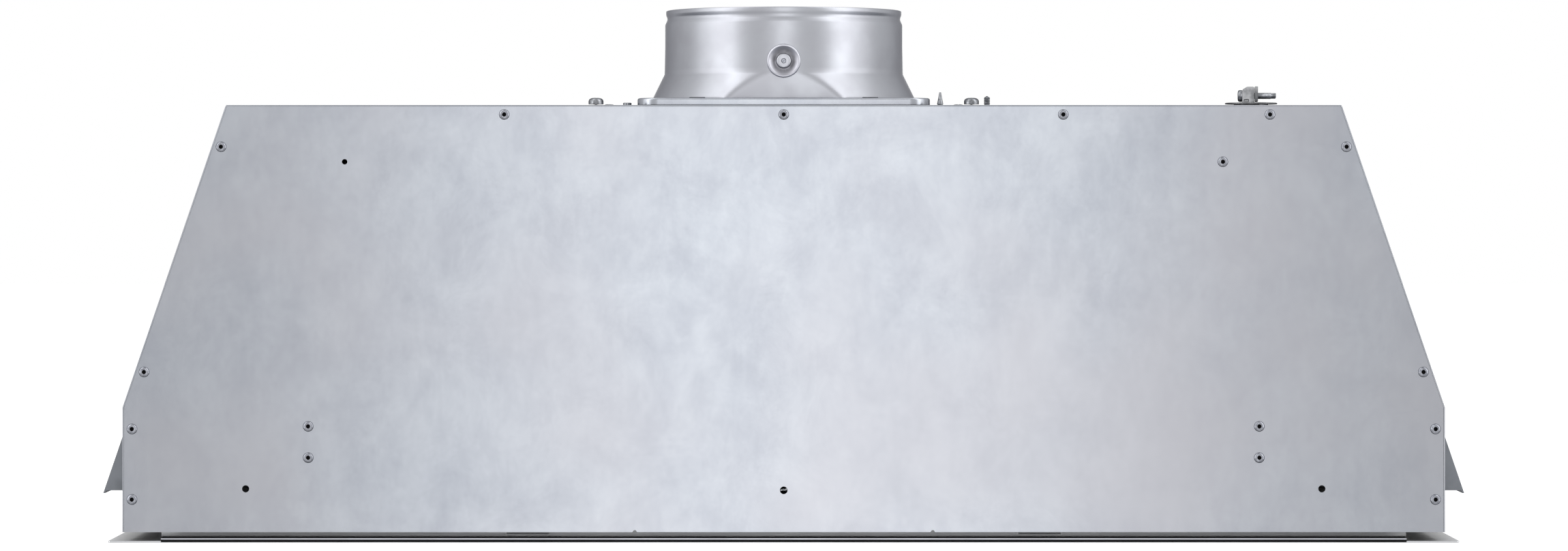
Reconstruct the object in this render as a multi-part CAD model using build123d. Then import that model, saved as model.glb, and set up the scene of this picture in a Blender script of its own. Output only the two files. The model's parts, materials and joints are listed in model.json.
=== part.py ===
from build123d import *
import math
import os

# Range hood insert. Millimetres. X runs along the width, Y from front to back, Z up.
# The origin is the centre of the flange's underside, below the duct collar's axis.

# Housing: riveted sheet steel shell with slanted upper sides
sheet = 0.8
housing_width = 803.0
housing_top_width = 677.5
housing_depth = 256.0
housing_bottom = 5.8
bend_height = 81.5
housing_top = 265.1
seam = 0.1
hem = 14.0
rivet_inset = 5.8
relief_radius = 1.2
notch_x = 90.5

# Front and rear panel holes
mount_hole_x = 326.7
mount_hole_z = 32.1
mount_hole_radius = 2.15
access_hole_z = 31.2
access_hole_radius = 2.3
spare_hole_x = 266.6
spare_hole_z = 230.6
spare_hole_radius = 1.65

# Blind rivets
rivet_radius = 3.2
rivet_height = 1.1
rivet_eye_radius = 1.0
rivet_shoulder = 0.75
top_rivet_pitch = 169.7
end_rivet_x = 295.2
high_rivet_z = 239.7
slant_rivet_z = 103.0
upper_side_rivet_z = 68.4
lower_side_rivet_z = 25.6
strap_x = 288.7
strap_rivet_z = 70.0
strap_rivet_pitch = 19.0

# Stainless base tray and its flange
flange_overhang = 7.6
flange_thickness = 1.1
tray_half_width = 382.0
tray_half_depth = 99.0
tray_depth = 18.0
tray_sheet = 0.8
tray_corner = 1.5
seal_width = 9.0
seal_height = 0.9
seal_end_gap = 5.0

# Straps that hang the tray from the housing
strap_width = 22.0
strap_sheet = 1.2
strap_foot = 46.0
tray_screw_radius = 3.6
tray_screw_height = 2.4
tray_screw_inset = 8.0

# Duct collar
duct_radius = 75.5
collar_sheet = 0.7
collar_height = 62.1
collar_base_size = 181.0
collar_base_corner = 13.0
collar_base_height = 4.2
cone_radius = 82.2
cone_top_radius = 75.9
cone_height = 17.6
groove_below_top = 4.7
groove_radius = 74.15
groove_band = 4.0
rim_radius = 74.9
collar_slot_x = 53.4
collar_slot_length = 11.8
collar_slot_width = 1.6
collar_slot_inset = 7.0
stop_length = 4.0
stop_half_width = 6.0

# Damper flaps on their cross spindle
spindle_height = 28.4
spindle_radius = 1.5
running_gap = 0.05
flap_sheet = 0.5
flap_drop = 0.3
flap_edge_gap = 1.6
knuckle_wall = 0.8
knuckle_pitch = 24.0
knuckle_gap = 0.4
bush_radius = 10.4
bush_hub_radius = 4.4
bush_eye_radius = 1.45
bush_thickness = 1.6
bush_hub_height = 0.8
bush_clearance = 0.6
bush_rim = 1.6
bush_dish = 0.6

# Side wings, sprung outward to catch the cabinet floor
wing_half_length = 83.0
wing_sheet = 1.0
wing_foot_z = 28.0
wing_lip = 1.7
wing_pin_inset = 5.0
wing_pin_drop = 4.5
wing_pin_radius = 1.5
wing_gap = 0.8
window_low = 19.5
window_drop = 1.5
ear_sheet = 1.2
ear_reach = 5.0
ear_drop = 6.0
ear_rise = 4.0
pin_tail = 0.6
pin_head_lip = 1.0
pin_head_length = 1.2
cheek_inset = 3.5
coil_wire = 0.8
coil_turns = 6
coil_pitch = 2.2
spring_leg = 14.0

# Centrifugal blower
wheel_y = 30.0
wheel_z = 128.0
wheel_radius = 72.0
wheel_bore_radius = 57.0
wheel_length = 108.0
blade_count = 36
blade_sheet = 0.8
blade_lean = 0.45
blade_belly = 0.1
wheel_ring = 2.0
disc_sheet = 2.0
hub_radius = 12.0
hub_length = 26.0
hub_collar = 2.0
shaft_radius = 4.0
scroll_step = 9.0
scroll_radius = 84.0
tongue_angle = 70.0
scroll_half_width = 62.0
scroll_rim = 5.0
inlet_radius = 60.0
inlet_lip = 5.0
inlet_depth = 6.0
inlet_curl = 3.0
inlet_sheet = 1.0
motor_radius = 42.0
motor_length = 78.0
motor_overhang = 24.0
motor_boss = 9.0
motor_cap_boss = 5.0
motor_shoulder = 4.0
boss_wall = 3.0
bearing_radius = 9.0
bearing_length = 7.0
arm_count = 3
arm_width = 12.0
arm_sheet = 1.5
arm_reach = 72.0
arm_stand_off = 4.0
bracket_ring = 12.0
carrier_half_width = 125.0
carrier_half_depth = 108.0
carrier_tab = 8.0

# Screws through the top panel
top_screw_x = 115.3
top_screw_y = 98.0
screw_head_radius = 4.6
screw_head_height = 4.0
screw_shank_radius = 2.0
screw_shoulder = 0.55
screw_crown = 0.6
screw_reach = 6.0
inner_head_height = 2.4
screw_point = 3.0
inner_screw_y = 73.0
tip_screw_x = 97.0
tip_screw_height = 8.0
stub_screw_x = 126.0
stub_screw_height = 5.7
low_screw_height = 2.8
burr_height = 1.0
burr_wall = 0.8

# Wiring box and cable clamp
clamp_x = 287.0
clamp_y = 98.0
clamp_hub_radius = 11.0
clamp_bore_radius = 8.0
clamp_ring_radius = 16.0
clamp_ring_height = 1.5
clamp_hub_drop = 8.0
saddle_reach = 6.8
saddle_depth = 7.5
saddle_pocket_radius = 6.2
saddle_chamfer = 1.4
jaw_height = 9.0
jaw_half_length = 13.0
jaw_sheet = 1.9
jaw_gap = 0.2
jaw_screw_radius = 1.75
jaw_screw_reach = 10.9
jaw_screw_rise = 5.1
jaw_screw_pitch = 20.0
jaw_head_radius = 3.4
jaw_head_height = 2.8
locknut_radius = 15.0
locknut_sides = 8
locknut_height = 3.0
wiring_half_width = 36.0
wiring_depth = 64.0
wiring_height = 50.0
capacitor_radius = 15.0
capacitor_length = 52.0
capacitor_y = 40.0
capacitor_drop = 47.5
clip_sheet = 1.0
clip_foot = 8.0
clip_band = 14.0

# Grease filters
filter_inner_x = 44.0
filter_width = 226.0
filter_thickness = 13.0
filter_wall = 0.8
filter_rim = 9.0
filter_ledge = 5.0
filter_play = 1.0
filter_end_gap = 1.5
filter_rail = 6.0
seat_gap = 0.3
baffle_count = 7
baffle_sheet = 0.6
baffle_lip = 3.6
baffle_share = 0.62
baffle_play = 0.2
hinge_tab_width = 14.0
hinge_tab_sheet = 1.0
hinge_tab_rise = 1.1
hinge_tab_reach = 6.0
hinge_tab_inset = 50.0
hinge_slot_height = 3.9
catch_width = 26.0
catch_sheet = 1.2
catch_length = 22.0
catch_reach = 0.6
catch_travel = 4.0
catch_slot_play = 0.6
catch_lip = 2.2
guide_pitch = 14.0
guide_radius = 1.9
guide_head_radius = 3.2
guide_play = 0.2
guide_back = 13.0

# Push buttons in the console between the filters
button_count = 5
button_pitch = 14.6
button_radius = 5.0
button_play = 0.3
button_y = 66.0
button_low = 4.5
button_stem = 13.5
button_collar = 0.9
button_collar_height = 1.6
button_travel = 2.5
bezel_half_width = 38.0
bezel_half_depth = 24.0
bezel_thickness = 7.0
bezel_corner = 5.0
control_half_width = 44.0
control_front_gap = 5.8
control_length = 78.0
control_height = 30.0
switch_height = 9.0
switch_size = 11.0
board_front = 12.0
board_back = 16.0
board_thickness = 1.6

# Lamps
lamp_x = 329.0
lamp_radius = 27.0
lamp_trim = 5.0
lamp_trim_height = 2.0
lamp_height = 26.0
lamp_wall = 1.5
lens_thickness = 2.0
lamp_shoulder = 4.0
lens_recess = 0.4
led_count = 6
led_start = 10.0
led_size = 3.0
led_height = 0.8
led_board_inset = 5.0
clip_reach = 8.2
clip_rise = 6.0
clip_width = 10.0
driver_length = 76.0
driver_width = 40.0
driver_height = 24.0
driver_gap = 3.0
driver_corner = 3.0

# Values worked out from the sizes above
half_width = housing_width / 2
half_top = housing_top_width / 2
half_depth = housing_depth / 2
slant = (half_width - half_top) / (housing_top - bend_height)
slant_run = sheet * math.hypot(1, slant)
top_underside = housing_top - sheet
panel_inset = slant_run + seam
flange_half_width = half_width + flange_overhang
flange_half_depth = half_depth + flange_overhang
collar_top = housing_top + collar_height
cone_foot = housing_top + collar_base_height
cone_top = cone_foot + cone_height
cone_flat = cone_top_radius - 0.1
spindle_z = housing_top + spindle_height
duct_seat = spindle_z + bush_radius + bush_clearance
knuckle_bore = spindle_radius + running_gap
knuckle_radius = knuckle_bore + knuckle_wall
duct_bore = duct_radius - collar_sheet
wing_pin_x = half_width - wing_pin_inset
wing_pin_z = bend_height - wing_pin_drop
coil_radius = wing_pin_radius + coil_wire / 2 + seat_gap
tray_ceiling = tray_depth - tray_sheet
filter_top = tray_ceiling - seat_gap
filter_bottom = filter_top - filter_thickness
filter_centre_x = filter_inner_x + filter_width / 2
filter_half_depth = tray_half_depth - tray_sheet - filter_play - filter_end_gap
hinge_tab_z = filter_bottom + hinge_tab_rise
scroll_front = wheel_y - scroll_step / 2 - scroll_radius - 2 * scroll_step
saddle_left = clamp_x - saddle_reach
saddle_face = saddle_left + saddle_depth
carrier_underside = top_underside - sheet
capacitor_z = carrier_underside - capacitor_drop


def side_x(z):
    """Half the housing's outer width at a height."""
    if z <= bend_height:
        return half_width
    return half_width - (z - bend_height) * slant


def wing_x(z):
    """Outer face of a wing, in line with the slanted side above it."""
    return half_width + (bend_height - z) * slant


def block(x_low, x_high, y_low, y_high, z_low, z_high):
    """A box between two opposite corners."""
    centre = Pos((x_low + x_high) / 2, (y_low + y_high) / 2, (z_low + z_high) / 2)
    return centre * Box(x_high - x_low, y_high - y_low, z_high - z_low)


def rod_x(radius, x_low, x_high, y, z):
    """A cylinder along X."""
    return Pos((x_low + x_high) / 2, y, z) * Rot(0, 90, 0) * Cylinder(radius, x_high - x_low)


def rod_y(radius, y_low, y_high, x, z):
    """A cylinder along Y."""
    return Pos(x, (y_low + y_high) / 2, z) * Rot(90, 0, 0) * Cylinder(radius, y_high - y_low)


def rod_z(radius, z_low, z_high, x=0.0, y=0.0):
    """A cylinder along Z."""
    return Pos(x, y, (z_low + z_high) / 2) * Cylinder(radius, z_high - z_low)


def upright(face, y_front, thickness):
    """Extrude a face drawn in X and Z from its front towards the back."""
    plane = Plane(origin=(0, y_front, 0), x_dir=(1, 0, 0), z_dir=(0, -1, 0))
    return extrude(plane * face, amount=-thickness)


def lengthwise(face, x_low, length):
    """Extrude a face drawn in Y and Z along X."""
    plane = Plane(origin=(x_low, 0, 0), x_dir=(0, 1, 0), z_dir=(1, 0, 0))
    return extrude(plane * face, amount=length)


def turned_z(points, x=0.0, y=0.0):
    """Revolve an outline of radius and height about an upright axis."""
    return Pos(x, y, 0) * revolve(Plane.XZ * Polygon(*points, align=None), Axis.Z)


def symmetric_face(right_side):
    """A face from its right-hand outline, bottom to top, and its mirror image."""
    left_side = [(-x, z) for x, z in reversed(right_side)]
    return Polygon(*right_side, *left_side, align=None)


def mirror_x(shape):
    """The left-hand twin of a right-hand piece."""
    return mirror(shape, about=Plane.YZ)


def mirror_y(shape):
    """The rear twin of a front piece."""
    return mirror(shape, about=Plane.XZ)


# Housing panels

def panel_face():
    """Front or rear panel outline with its screw holes, bend reliefs and edge notches."""
    face = symmetric_face([
        (half_width - panel_inset, housing_bottom),
        (half_width - panel_inset, bend_height),
        (half_top - panel_inset, housing_top),
    ])
    for side in (-1, 1):
        face -= Pos(side * mount_hole_x, mount_hole_z) * Circle(mount_hole_radius)
        face -= Pos(side * (half_width - panel_inset), bend_height) * Circle(relief_radius)
        face -= Pos(side * notch_x, housing_bottom) * Circle(relief_radius)
    return face


def front_panel():
    face = panel_face()
    face -= Pos(0, access_hole_z) * Circle(access_hole_radius)
    face -= Pos(-spare_hole_x, spare_hole_z) * Circle(spare_hole_radius)
    return upright(face, -half_depth, sheet)


def rear_panel():
    return upright(panel_face(), half_depth - sheet, sheet)


def side_panel():
    """Right side: bent sheet with riveted hems, a top hem, a wing window and hinge ears."""
    top_x = side_x(top_underside)
    top_hem = block(
        top_x - hem, top_x - slant_run / 2,
        -half_depth + sheet, half_depth - sheet,
        top_underside - sheet, top_underside,
    )
    skin = Polygon(
        (half_width, housing_bottom),
        (half_width, bend_height),
        (top_x, top_underside),
        (top_x - slant_run, top_underside),
        (half_width - sheet, bend_height - (slant_run - sheet) / slant),
        (half_width - sheet, housing_bottom),
        align=None,
    )
    hem_face = Polygon(
        (half_width, housing_bottom),
        (half_width, bend_height),
        (top_x, top_underside),
        (top_x - hem, top_underside),
        (half_width - hem, bend_height),
        (half_width - hem, housing_bottom),
        align=None,
    )
    panel = upright(skin, -half_depth, housing_depth)
    front_hem = upright(hem_face, -half_depth + sheet, sheet)
    window_half = wing_half_length + 2 * wing_gap
    window = block(
        half_width - wing_pin_inset, half_width + 1,
        -window_half, window_half,
        window_low, bend_height - window_drop,
    )
    panel = panel + top_hem + front_hem + mirror_y(front_hem)
    panel -= window
    for side in (-1, 1):
        ear_y = side * (window_half + wing_gap + ear_sheet / 2)
        ear = block(
            wing_pin_x - ear_reach, half_width - sheet / 2,
            ear_y - ear_sheet / 2, ear_y + ear_sheet / 2,
            wing_pin_z - ear_drop, wing_pin_z + ear_rise,
        )
        bore = rod_y(wing_pin_radius, ear_y - ear_sheet, ear_y + ear_sheet, wing_pin_x, wing_pin_z)
        panel += ear - bore
    return panel


def top_panel():
    """Flat top with two folded edges, the duct hole, screw holes and pierced burrs."""
    panel = block(
        -half_top, half_top,
        -half_depth + sheet + seam, half_depth - sheet - seam,
        top_underside, housing_top,
    )
    edge = block(
        -half_top + 2 * hem, half_top - 2 * hem,
        -half_depth + sheet, -half_depth + 2 * sheet,
        top_underside - hem, housing_top,
    )
    panel = panel + edge + mirror_y(edge)
    panel -= rod_z(duct_bore, top_underside - sheet, housing_top + sheet)
    panel -= rod_z(clamp_hub_radius, top_underside - sheet, housing_top + sheet, clamp_x, -clamp_y)
    for x, y in top_screw_places():
        panel -= rod_z(screw_shank_radius, top_underside - sheet, housing_top + sheet, x, y)
    for x, radius in ((tip_screw_x, screw_shank_radius), (stub_screw_x, screw_shank_radius)):
        burr = rod_z(radius + burr_wall, top_underside, housing_top + burr_height, x, -inner_screw_y)
        bore = rod_z(radius, top_underside - sheet, housing_top + 2 * burr_height, x, -inner_screw_y)
        panel = panel + burr - bore
    low_bore = rod_z(
        screw_shank_radius, top_underside - sheet, housing_top + sheet, -tip_screw_x, -inner_screw_y,
    )
    return panel - low_bore


def top_screw_places():
    return [(sx * top_screw_x, sy * top_screw_y) for sx in (-1, 1) for sy in (-1, 1)]


def rivet_places():
    """Front panel rivets: top edge, slanted edges, lower edges and tray straps."""
    places = [(0, housing_top - rivet_inset), (end_rivet_x, housing_top - rivet_inset)]
    places.append((spare_hole_x, spare_hole_z))
    for side in (-1, 1):
        places.append((side * top_rivet_pitch, housing_top - rivet_inset))
        for z in (high_rivet_z, slant_rivet_z, upper_side_rivet_z, lower_side_rivet_z):
            places.append((side * (side_x(z) - rivet_inset), z))
        for z in (strap_rivet_z, strap_rivet_z - strap_rivet_pitch):
            places.append((side * strap_x, z))
    return places


def panel_rivets():
    """Domed heads of the blind rivets, seated on the front and rear panels."""
    profile = Polygon(
        (rivet_eye_radius, 0),
        (rivet_radius, 0),
        (rivet_radius * rivet_shoulder, rivet_height * rivet_shoulder),
        (rivet_eye_radius, rivet_height),
        align=None,
    )
    head = Rot(90, 0, 0) * revolve(Plane.XZ * profile, Axis.Z)
    solids = []
    for x, z in rivet_places():
        solids.append(Pos(x, -half_depth, z) * head)
        solids.append(mirror_y(Pos(x, -half_depth, z) * head))
    return Compound(children=solids)


# Base tray

def base_tray():
    """Flange, walls and ceiling of one stainless sheet, open at the filters, lamps and buttons."""
    tray = block(
        -flange_half_width, flange_half_width,
        -flange_half_depth, flange_half_depth,
        0, flange_thickness,
    )
    tray = fillet(tray.edges().filter_by(Axis.Z), tray_corner)
    tray += block(
        -tray_half_width, tray_half_width, -tray_half_depth, tray_half_depth, 0, tray_depth,
    )
    tray -= block(
        -tray_half_width + tray_sheet, tray_half_width - tray_sheet,
        -tray_half_depth + tray_sheet, tray_half_depth - tray_sheet,
        -1, tray_ceiling,
    )
    for side in (-1, 1):
        low, high = sorted((side * filter_inner_x, side * (filter_inner_x + filter_width)))
        opening_depth = filter_half_depth - filter_ledge
        tray -= block(
            low + filter_ledge, high - filter_ledge,
            -opening_depth, opening_depth,
            tray_ceiling - 1, tray_depth + 1,
        )
        tray -= rod_z(lamp_radius + seat_gap, tray_ceiling - 1, tray_depth + 1, side * lamp_x)
        tray -= hinge_slots(side * filter_centre_x)
        tray -= catch_slot(side * filter_centre_x)
    button_span = button_pitch * (button_count - 1) / 2 + button_radius + button_collar + 1
    tray -= block(
        -button_span, button_span,
        -button_y - button_radius - 2, -button_y + button_radius + 2,
        tray_ceiling - 1, tray_depth + 1,
    )
    return tray


def hinge_slots(centre_x):
    """Slots in the tray's rear wall for one filter's two hinge tabs."""
    slots = []
    for side in (-1, 1):
        x = centre_x + side * (filter_width / 2 - hinge_tab_inset)
        half = hinge_tab_width / 2 + filter_play
        slots.append(block(
            x - half, x + half,
            tray_half_depth - 2 * tray_sheet, tray_half_depth + 1,
            hinge_tab_z - hinge_slot_height / 2, hinge_tab_z + hinge_slot_height / 2,
        ))
    return slots[0] + slots[1]


def catch_slot(centre_x):
    """Slot in the tray's front wall that takes a filter catch."""
    half = catch_width / 2 + catch_slot_play
    top = filter_bottom - seat_gap
    return block(
        centre_x - half, centre_x + half,
        -tray_half_depth - 1, -tray_half_depth + 2 * tray_sheet,
        top - catch_sheet - catch_slot_play, top + catch_slot_play,
    )


def flange_seal():
    """Foam strips on the flange, between it and the cabinet floor."""
    half = tray_half_width - seal_end_gap
    front = block(
        -half, half,
        -flange_half_depth + seat_gap, -flange_half_depth + seat_gap + seal_width,
        flange_thickness, flange_thickness + seal_height,
    )
    return Compound(children=[front, mirror_y(front)])


def tray_straps():
    """Four bent straps, riveted to the panels and screwed to the tray's ceiling."""
    inner_y = -half_depth + sheet
    top = strap_rivet_z + rivet_inset
    profile = Polygon(
        (inner_y, tray_depth),
        (inner_y + strap_foot, tray_depth),
        (inner_y + strap_foot, tray_depth + strap_sheet),
        (inner_y + strap_sheet, tray_depth + strap_sheet),
        (inner_y + strap_sheet, top),
        (inner_y, top),
        align=None,
    )
    straps = []
    for side in (-1, 1):
        strap = lengthwise(profile, side * strap_x - strap_width / 2, strap_width)
        straps.append(strap)
        straps.append(mirror_y(strap))
    return Compound(children=straps)


def tray_screws():
    """Screw heads on the straps' feet, and one on the control box behind the access hole."""
    y = -half_depth + sheet + strap_foot - tray_screw_inset
    foot_top = tray_depth + strap_sheet
    solids = []
    for side in (-1, 1):
        screw = rod_z(tray_screw_radius, foot_top, foot_top + tray_screw_height, side * strap_x, y)
        solids.append(screw)
        solids.append(mirror_y(screw))
    front = -half_depth + sheet + control_front_gap
    solids.append(rod_y(tray_screw_radius, front - tray_screw_height, front, 0, access_hole_z))
    return Compound(children=solids)


# Duct collar and damper

def collar_skin(inset):
    """Solid of the collar's outer form, drawn in by a wall."""
    foot = cone_foot - inset
    body = turned_z([
        (0, foot),
        (cone_radius - inset, foot),
        (cone_top_radius - inset, cone_top),
        (duct_radius - inset, duct_seat),
        (duct_radius - inset, collar_top - groove_below_top - groove_band),
        (groove_radius - inset, collar_top - groove_below_top),
        (rim_radius - inset, collar_top - groove_band / 2),
        (rim_radius - inset, collar_top),
        (0, collar_top),
    ])
    flat = cone_flat - inset
    wide = cone_radius + 1
    return body & block(-wide, wide, -flat, flat, foot - 1, collar_top + 1)


def collar_base(inset):
    """Raised square plate under the cone, with rounded corners."""
    size = collar_base_size - 2 * inset
    corner = collar_base_corner - inset
    height = collar_base_height - inset
    return Pos(0, 0, housing_top) * extrude(RectangleRounded(size, size, corner), amount=height)


def duct_collar():
    """Drawn sheet collar: raised base, flat-fronted cone, beaded sleeve and flap stops."""
    outside = collar_skin(0) + collar_base(0)
    inside = collar_skin(collar_sheet) + collar_base(collar_sheet)
    inside += rod_z(rim_radius - collar_sheet, collar_top - groove_band / 2, collar_top + 1)
    collar = outside - inside
    collar -= rod_y(spindle_radius, -cone_radius, cone_radius, 0, spindle_z)
    for side_x_sign in (-1, 1):
        for side_y_sign in (-1, 1):
            x = side_x_sign * collar_slot_x
            y = side_y_sign * (collar_base_size / 2 - collar_slot_inset)
            collar -= block(
                x - collar_slot_length / 2, x + collar_slot_length / 2,
                y - collar_slot_width / 2, y + collar_slot_width / 2,
                cone_foot - 2 * collar_sheet, cone_foot + 1,
            )
    stop_top = spindle_z - knuckle_radius - seat_gap
    for angle in (0, 180):
        stop = block(
            duct_bore - stop_length, duct_bore + collar_sheet / 2,
            -stop_half_width, stop_half_width,
            stop_top - 1, stop_top,
        )
        collar += Rot(0, 0, angle) * stop
    return collar


def damper_spindle():
    reach = cone_flat + bush_thickness
    return rod_y(spindle_radius, -reach, reach, 0, spindle_z)


def spindle_bush():
    """Front bush: a dished disc with a hub, its back following the sleeve."""
    back = cone_flat - 2
    face = cone_flat + bush_thickness
    bush = rod_y(bush_radius, -face, -back, 0, spindle_z)
    dish = rod_y(bush_radius - bush_rim, -face - 1, -face + bush_dish, 0, spindle_z)
    hub = rod_y(bush_hub_radius, -face - bush_hub_height + bush_dish, -back, 0, spindle_z)
    bush = bush - dish + hub
    bush -= rod_y(bush_eye_radius, -face - 1, -face + bush_dish, 0, spindle_z)
    bush -= rod_y(spindle_radius, -face, -back + 1, 0, spindle_z)
    return bush - rod_z(cone_top_radius + running_gap, cone_foot, collar_top) - flat_cone_core()


def flat_cone_core():
    """The space that the collar's flat-fronted cone takes, for pieces that lie against it."""
    flat = cone_flat + running_gap
    return block(-cone_radius, cone_radius, -flat, flat, cone_foot, cone_top + running_gap)


def flap_knuckle_starts(first):
    """Lower Y of every other knuckle along the spindle."""
    count = int(duct_bore * 2 / knuckle_pitch) - 1
    start = -count * knuckle_pitch / 2
    return [start + i * knuckle_pitch for i in range(first, count, 2)]


def damper_flap(side, first):
    """Half disc hung from the spindle by knuckles that interleave with the other flap's."""
    radius = duct_bore - flap_edge_gap
    sheet_top = spindle_z - knuckle_bore
    sheet_low = spindle_z - knuckle_radius + knuckle_wall - flap_sheet - flap_drop
    disc = rod_z(radius, sheet_low, sheet_top - flap_drop)
    half = disc & block(knuckle_radius + knuckle_gap, duct_radius, -duct_radius, duct_radius, 0, collar_top)
    flap = half if side > 0 else mirror_x(half)
    for start in flap_knuckle_starts(first):
        low = start + knuckle_gap
        high = start + knuckle_pitch - knuckle_gap
        tube = rod_y(knuckle_radius, low, high, 0, spindle_z)
        edge = side * (knuckle_radius + knuckle_gap + 1)
        web = block(min(0, edge), max(0, edge), low, high, sheet_low, sheet_top - flap_drop)
        flap = flap + tube + web
    return flap - rod_y(knuckle_bore, -duct_radius, duct_radius, 0, spindle_z)


# Side wings

def wing():
    """Right wing: slanted plate with a lip, and two cheeks that pass through the window."""
    plate_top = wing_pin_z
    plate_low = wing_foot_z - wing_lip
    run = wing_sheet * math.hypot(1, slant)
    plate_face = Polygon(
        (wing_x(plate_low), plate_low),
        (wing_x(plate_top), plate_top),
        (wing_x(plate_top) - run, plate_top),
        (wing_x(plate_low) - run, plate_low),
        align=None,
    )
    cheek_face = Polygon(
        (wing_pin_x - cheek_inset, wing_pin_z),
        (wing_pin_x - cheek_inset, wing_pin_z - cheek_inset),
        (wing_pin_x + wing_gap, wing_foot_z),
        (wing_x(wing_foot_z) - run / 2, wing_foot_z),
        (wing_x(plate_top) - run / 2, plate_top),
        (wing_pin_x, wing_pin_z + cheek_inset),
        align=None,
    )
    cheek_face += Pos(wing_pin_x, wing_pin_z) * Circle(cheek_inset)
    cheek_face -= Pos(wing_pin_x, wing_pin_z) * Circle(wing_pin_radius + running_gap)
    plate = upright(plate_face, -wing_half_length, 2 * wing_half_length)
    cheek = upright(cheek_face, -wing_half_length, wing_sheet)
    return plate + cheek + mirror_y(cheek)


def wing_pin():
    """Hinge pin through the side panel's ears and the wing's cheeks, with a head."""
    reach = wing_half_length + 3 * wing_gap + ear_sheet + pin_tail
    pin = rod_y(wing_pin_radius, -reach, reach, wing_pin_x, wing_pin_z)
    head_radius = wing_pin_radius + pin_head_lip
    return pin + rod_y(head_radius, -reach - pin_head_length, -reach, wing_pin_x, wing_pin_z)


def wing_spring():
    """Torsion spring wound on the hinge pin, its ends running down inside the side panel."""
    length = coil_turns * coil_pitch
    helix = Helix(pitch=coil_pitch, height=length, radius=coil_radius)
    section = Plane(origin=helix @ 0, z_dir=helix % 0) * Circle(coil_wire / 2)
    coil = sweep(section, path=helix)
    coil = Pos(wing_pin_x, length / 2, wing_pin_z) * Rot(90, 0, 0) * coil
    for y in (-length / 2, length / 2):
        leg_x = wing_pin_x + coil_radius
        coil += rod_z(coil_wire / 2, wing_pin_z - spring_leg, wing_pin_z, leg_x, y)
    return coil


# Blower

def scroll_face(grow):
    """Scroll side view of three tangent quarter arcs and the throat, grown by a margin."""
    half_step = scroll_step / 2
    back = (wheel_y + half_step, wheel_z - half_step)
    low = (wheel_y - half_step, wheel_z - half_step)
    front = (wheel_y - half_step, wheel_z + half_step)
    small = scroll_radius + grow
    middle = small + scroll_step
    large = middle + scroll_step
    turn = math.radians(tongue_angle)
    tongue = (back[0] + small * math.cos(turn), back[1] + small * math.sin(turn))
    edges = [
        Line((tongue[0], carrier_underside), tongue),
        CenterArc(back, small, tongue_angle, -tongue_angle),
        CenterArc(low, middle, 0, -90),
        CenterArc(front, large, -90, -90),
        Line((front[0] - large, front[1]), (front[0] - large, carrier_underside)),
        Line((front[0] - large, carrier_underside), (tongue[0], carrier_underside)),
    ]
    return make_face(edges)


def scroll_wrapper():
    """Bent sheet around the wheel, open at the top."""
    width = 2 * scroll_half_width
    outside = lengthwise(scroll_face(0), -scroll_half_width, width)
    inside = lengthwise(scroll_face(-sheet), -scroll_half_width - 1, width + 2)
    throat = block(
        -scroll_half_width - 1, scroll_half_width + 1,
        scroll_front + sheet, tongue_y() - sheet,
        carrier_underside - 1, carrier_underside + 1,
    )
    return outside - inside - throat


def tongue_y():
    return wheel_y + scroll_step / 2 + scroll_radius * math.cos(math.radians(tongue_angle))


def scroll_side():
    """Right side plate with its inlet, lipped over the wrapper."""
    plate = lengthwise(scroll_face(scroll_rim), scroll_half_width, sheet)
    top_band = block(
        scroll_half_width - 1, scroll_half_width + 2,
        -half_depth, half_depth,
        carrier_underside - seam, housing_top,
    )
    bore = rod_x(inlet_radius, scroll_half_width - 1, scroll_half_width + 2, wheel_y, wheel_z)
    return plate - top_band - bore


def inlet_ring():
    """Bell mouth on the right side plate, turned about the wheel's axis."""
    start = scroll_half_width + sheet
    flare = [
        (inlet_radius - inlet_curl, start - inlet_depth),
        (inlet_radius - inlet_curl + inlet_sheet, start - inlet_depth),
        (inlet_radius - inlet_sheet / 2, start),
        (inlet_radius + inlet_lip, start),
        (inlet_radius + inlet_lip, start + inlet_sheet),
        (inlet_radius - 1.5 * inlet_sheet, start + inlet_sheet),
    ]
    ring = revolve(Plane.XZ * Polygon(*flare, align=None), Axis.Z)
    return Pos(0, wheel_y, wheel_z) * Rot(0, 90, 0) * ring


def blade_face():
    """Forward-curved blade drawn across the wheel, its inner edge on the bore radius."""
    depth = wheel_radius - wheel_bore_radius
    lean = depth * blade_lean
    inner = (0, wheel_bore_radius)
    belly = (-depth * blade_belly, (wheel_radius + wheel_bore_radius) / 2)
    outer = (lean, math.sqrt((wheel_radius - blade_sheet) ** 2 - lean**2))
    front = [(x - blade_sheet / 2, y) for x, y in (inner, belly, outer)]
    back = [(x + blade_sheet / 2, y) for x, y in (inner, belly, outer)]
    outline = Curve() + [
        ThreePointArc(*front),
        Line(front[2], back[2]),
        ThreePointArc(*reversed(back)),
        Line(back[0], front[0]),
    ]
    return make_face(outline)


def across_wheel(x):
    return Plane(origin=(x, wheel_y, wheel_z), x_dir=(0, 1, 0), z_dir=(1, 0, 0))


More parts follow.
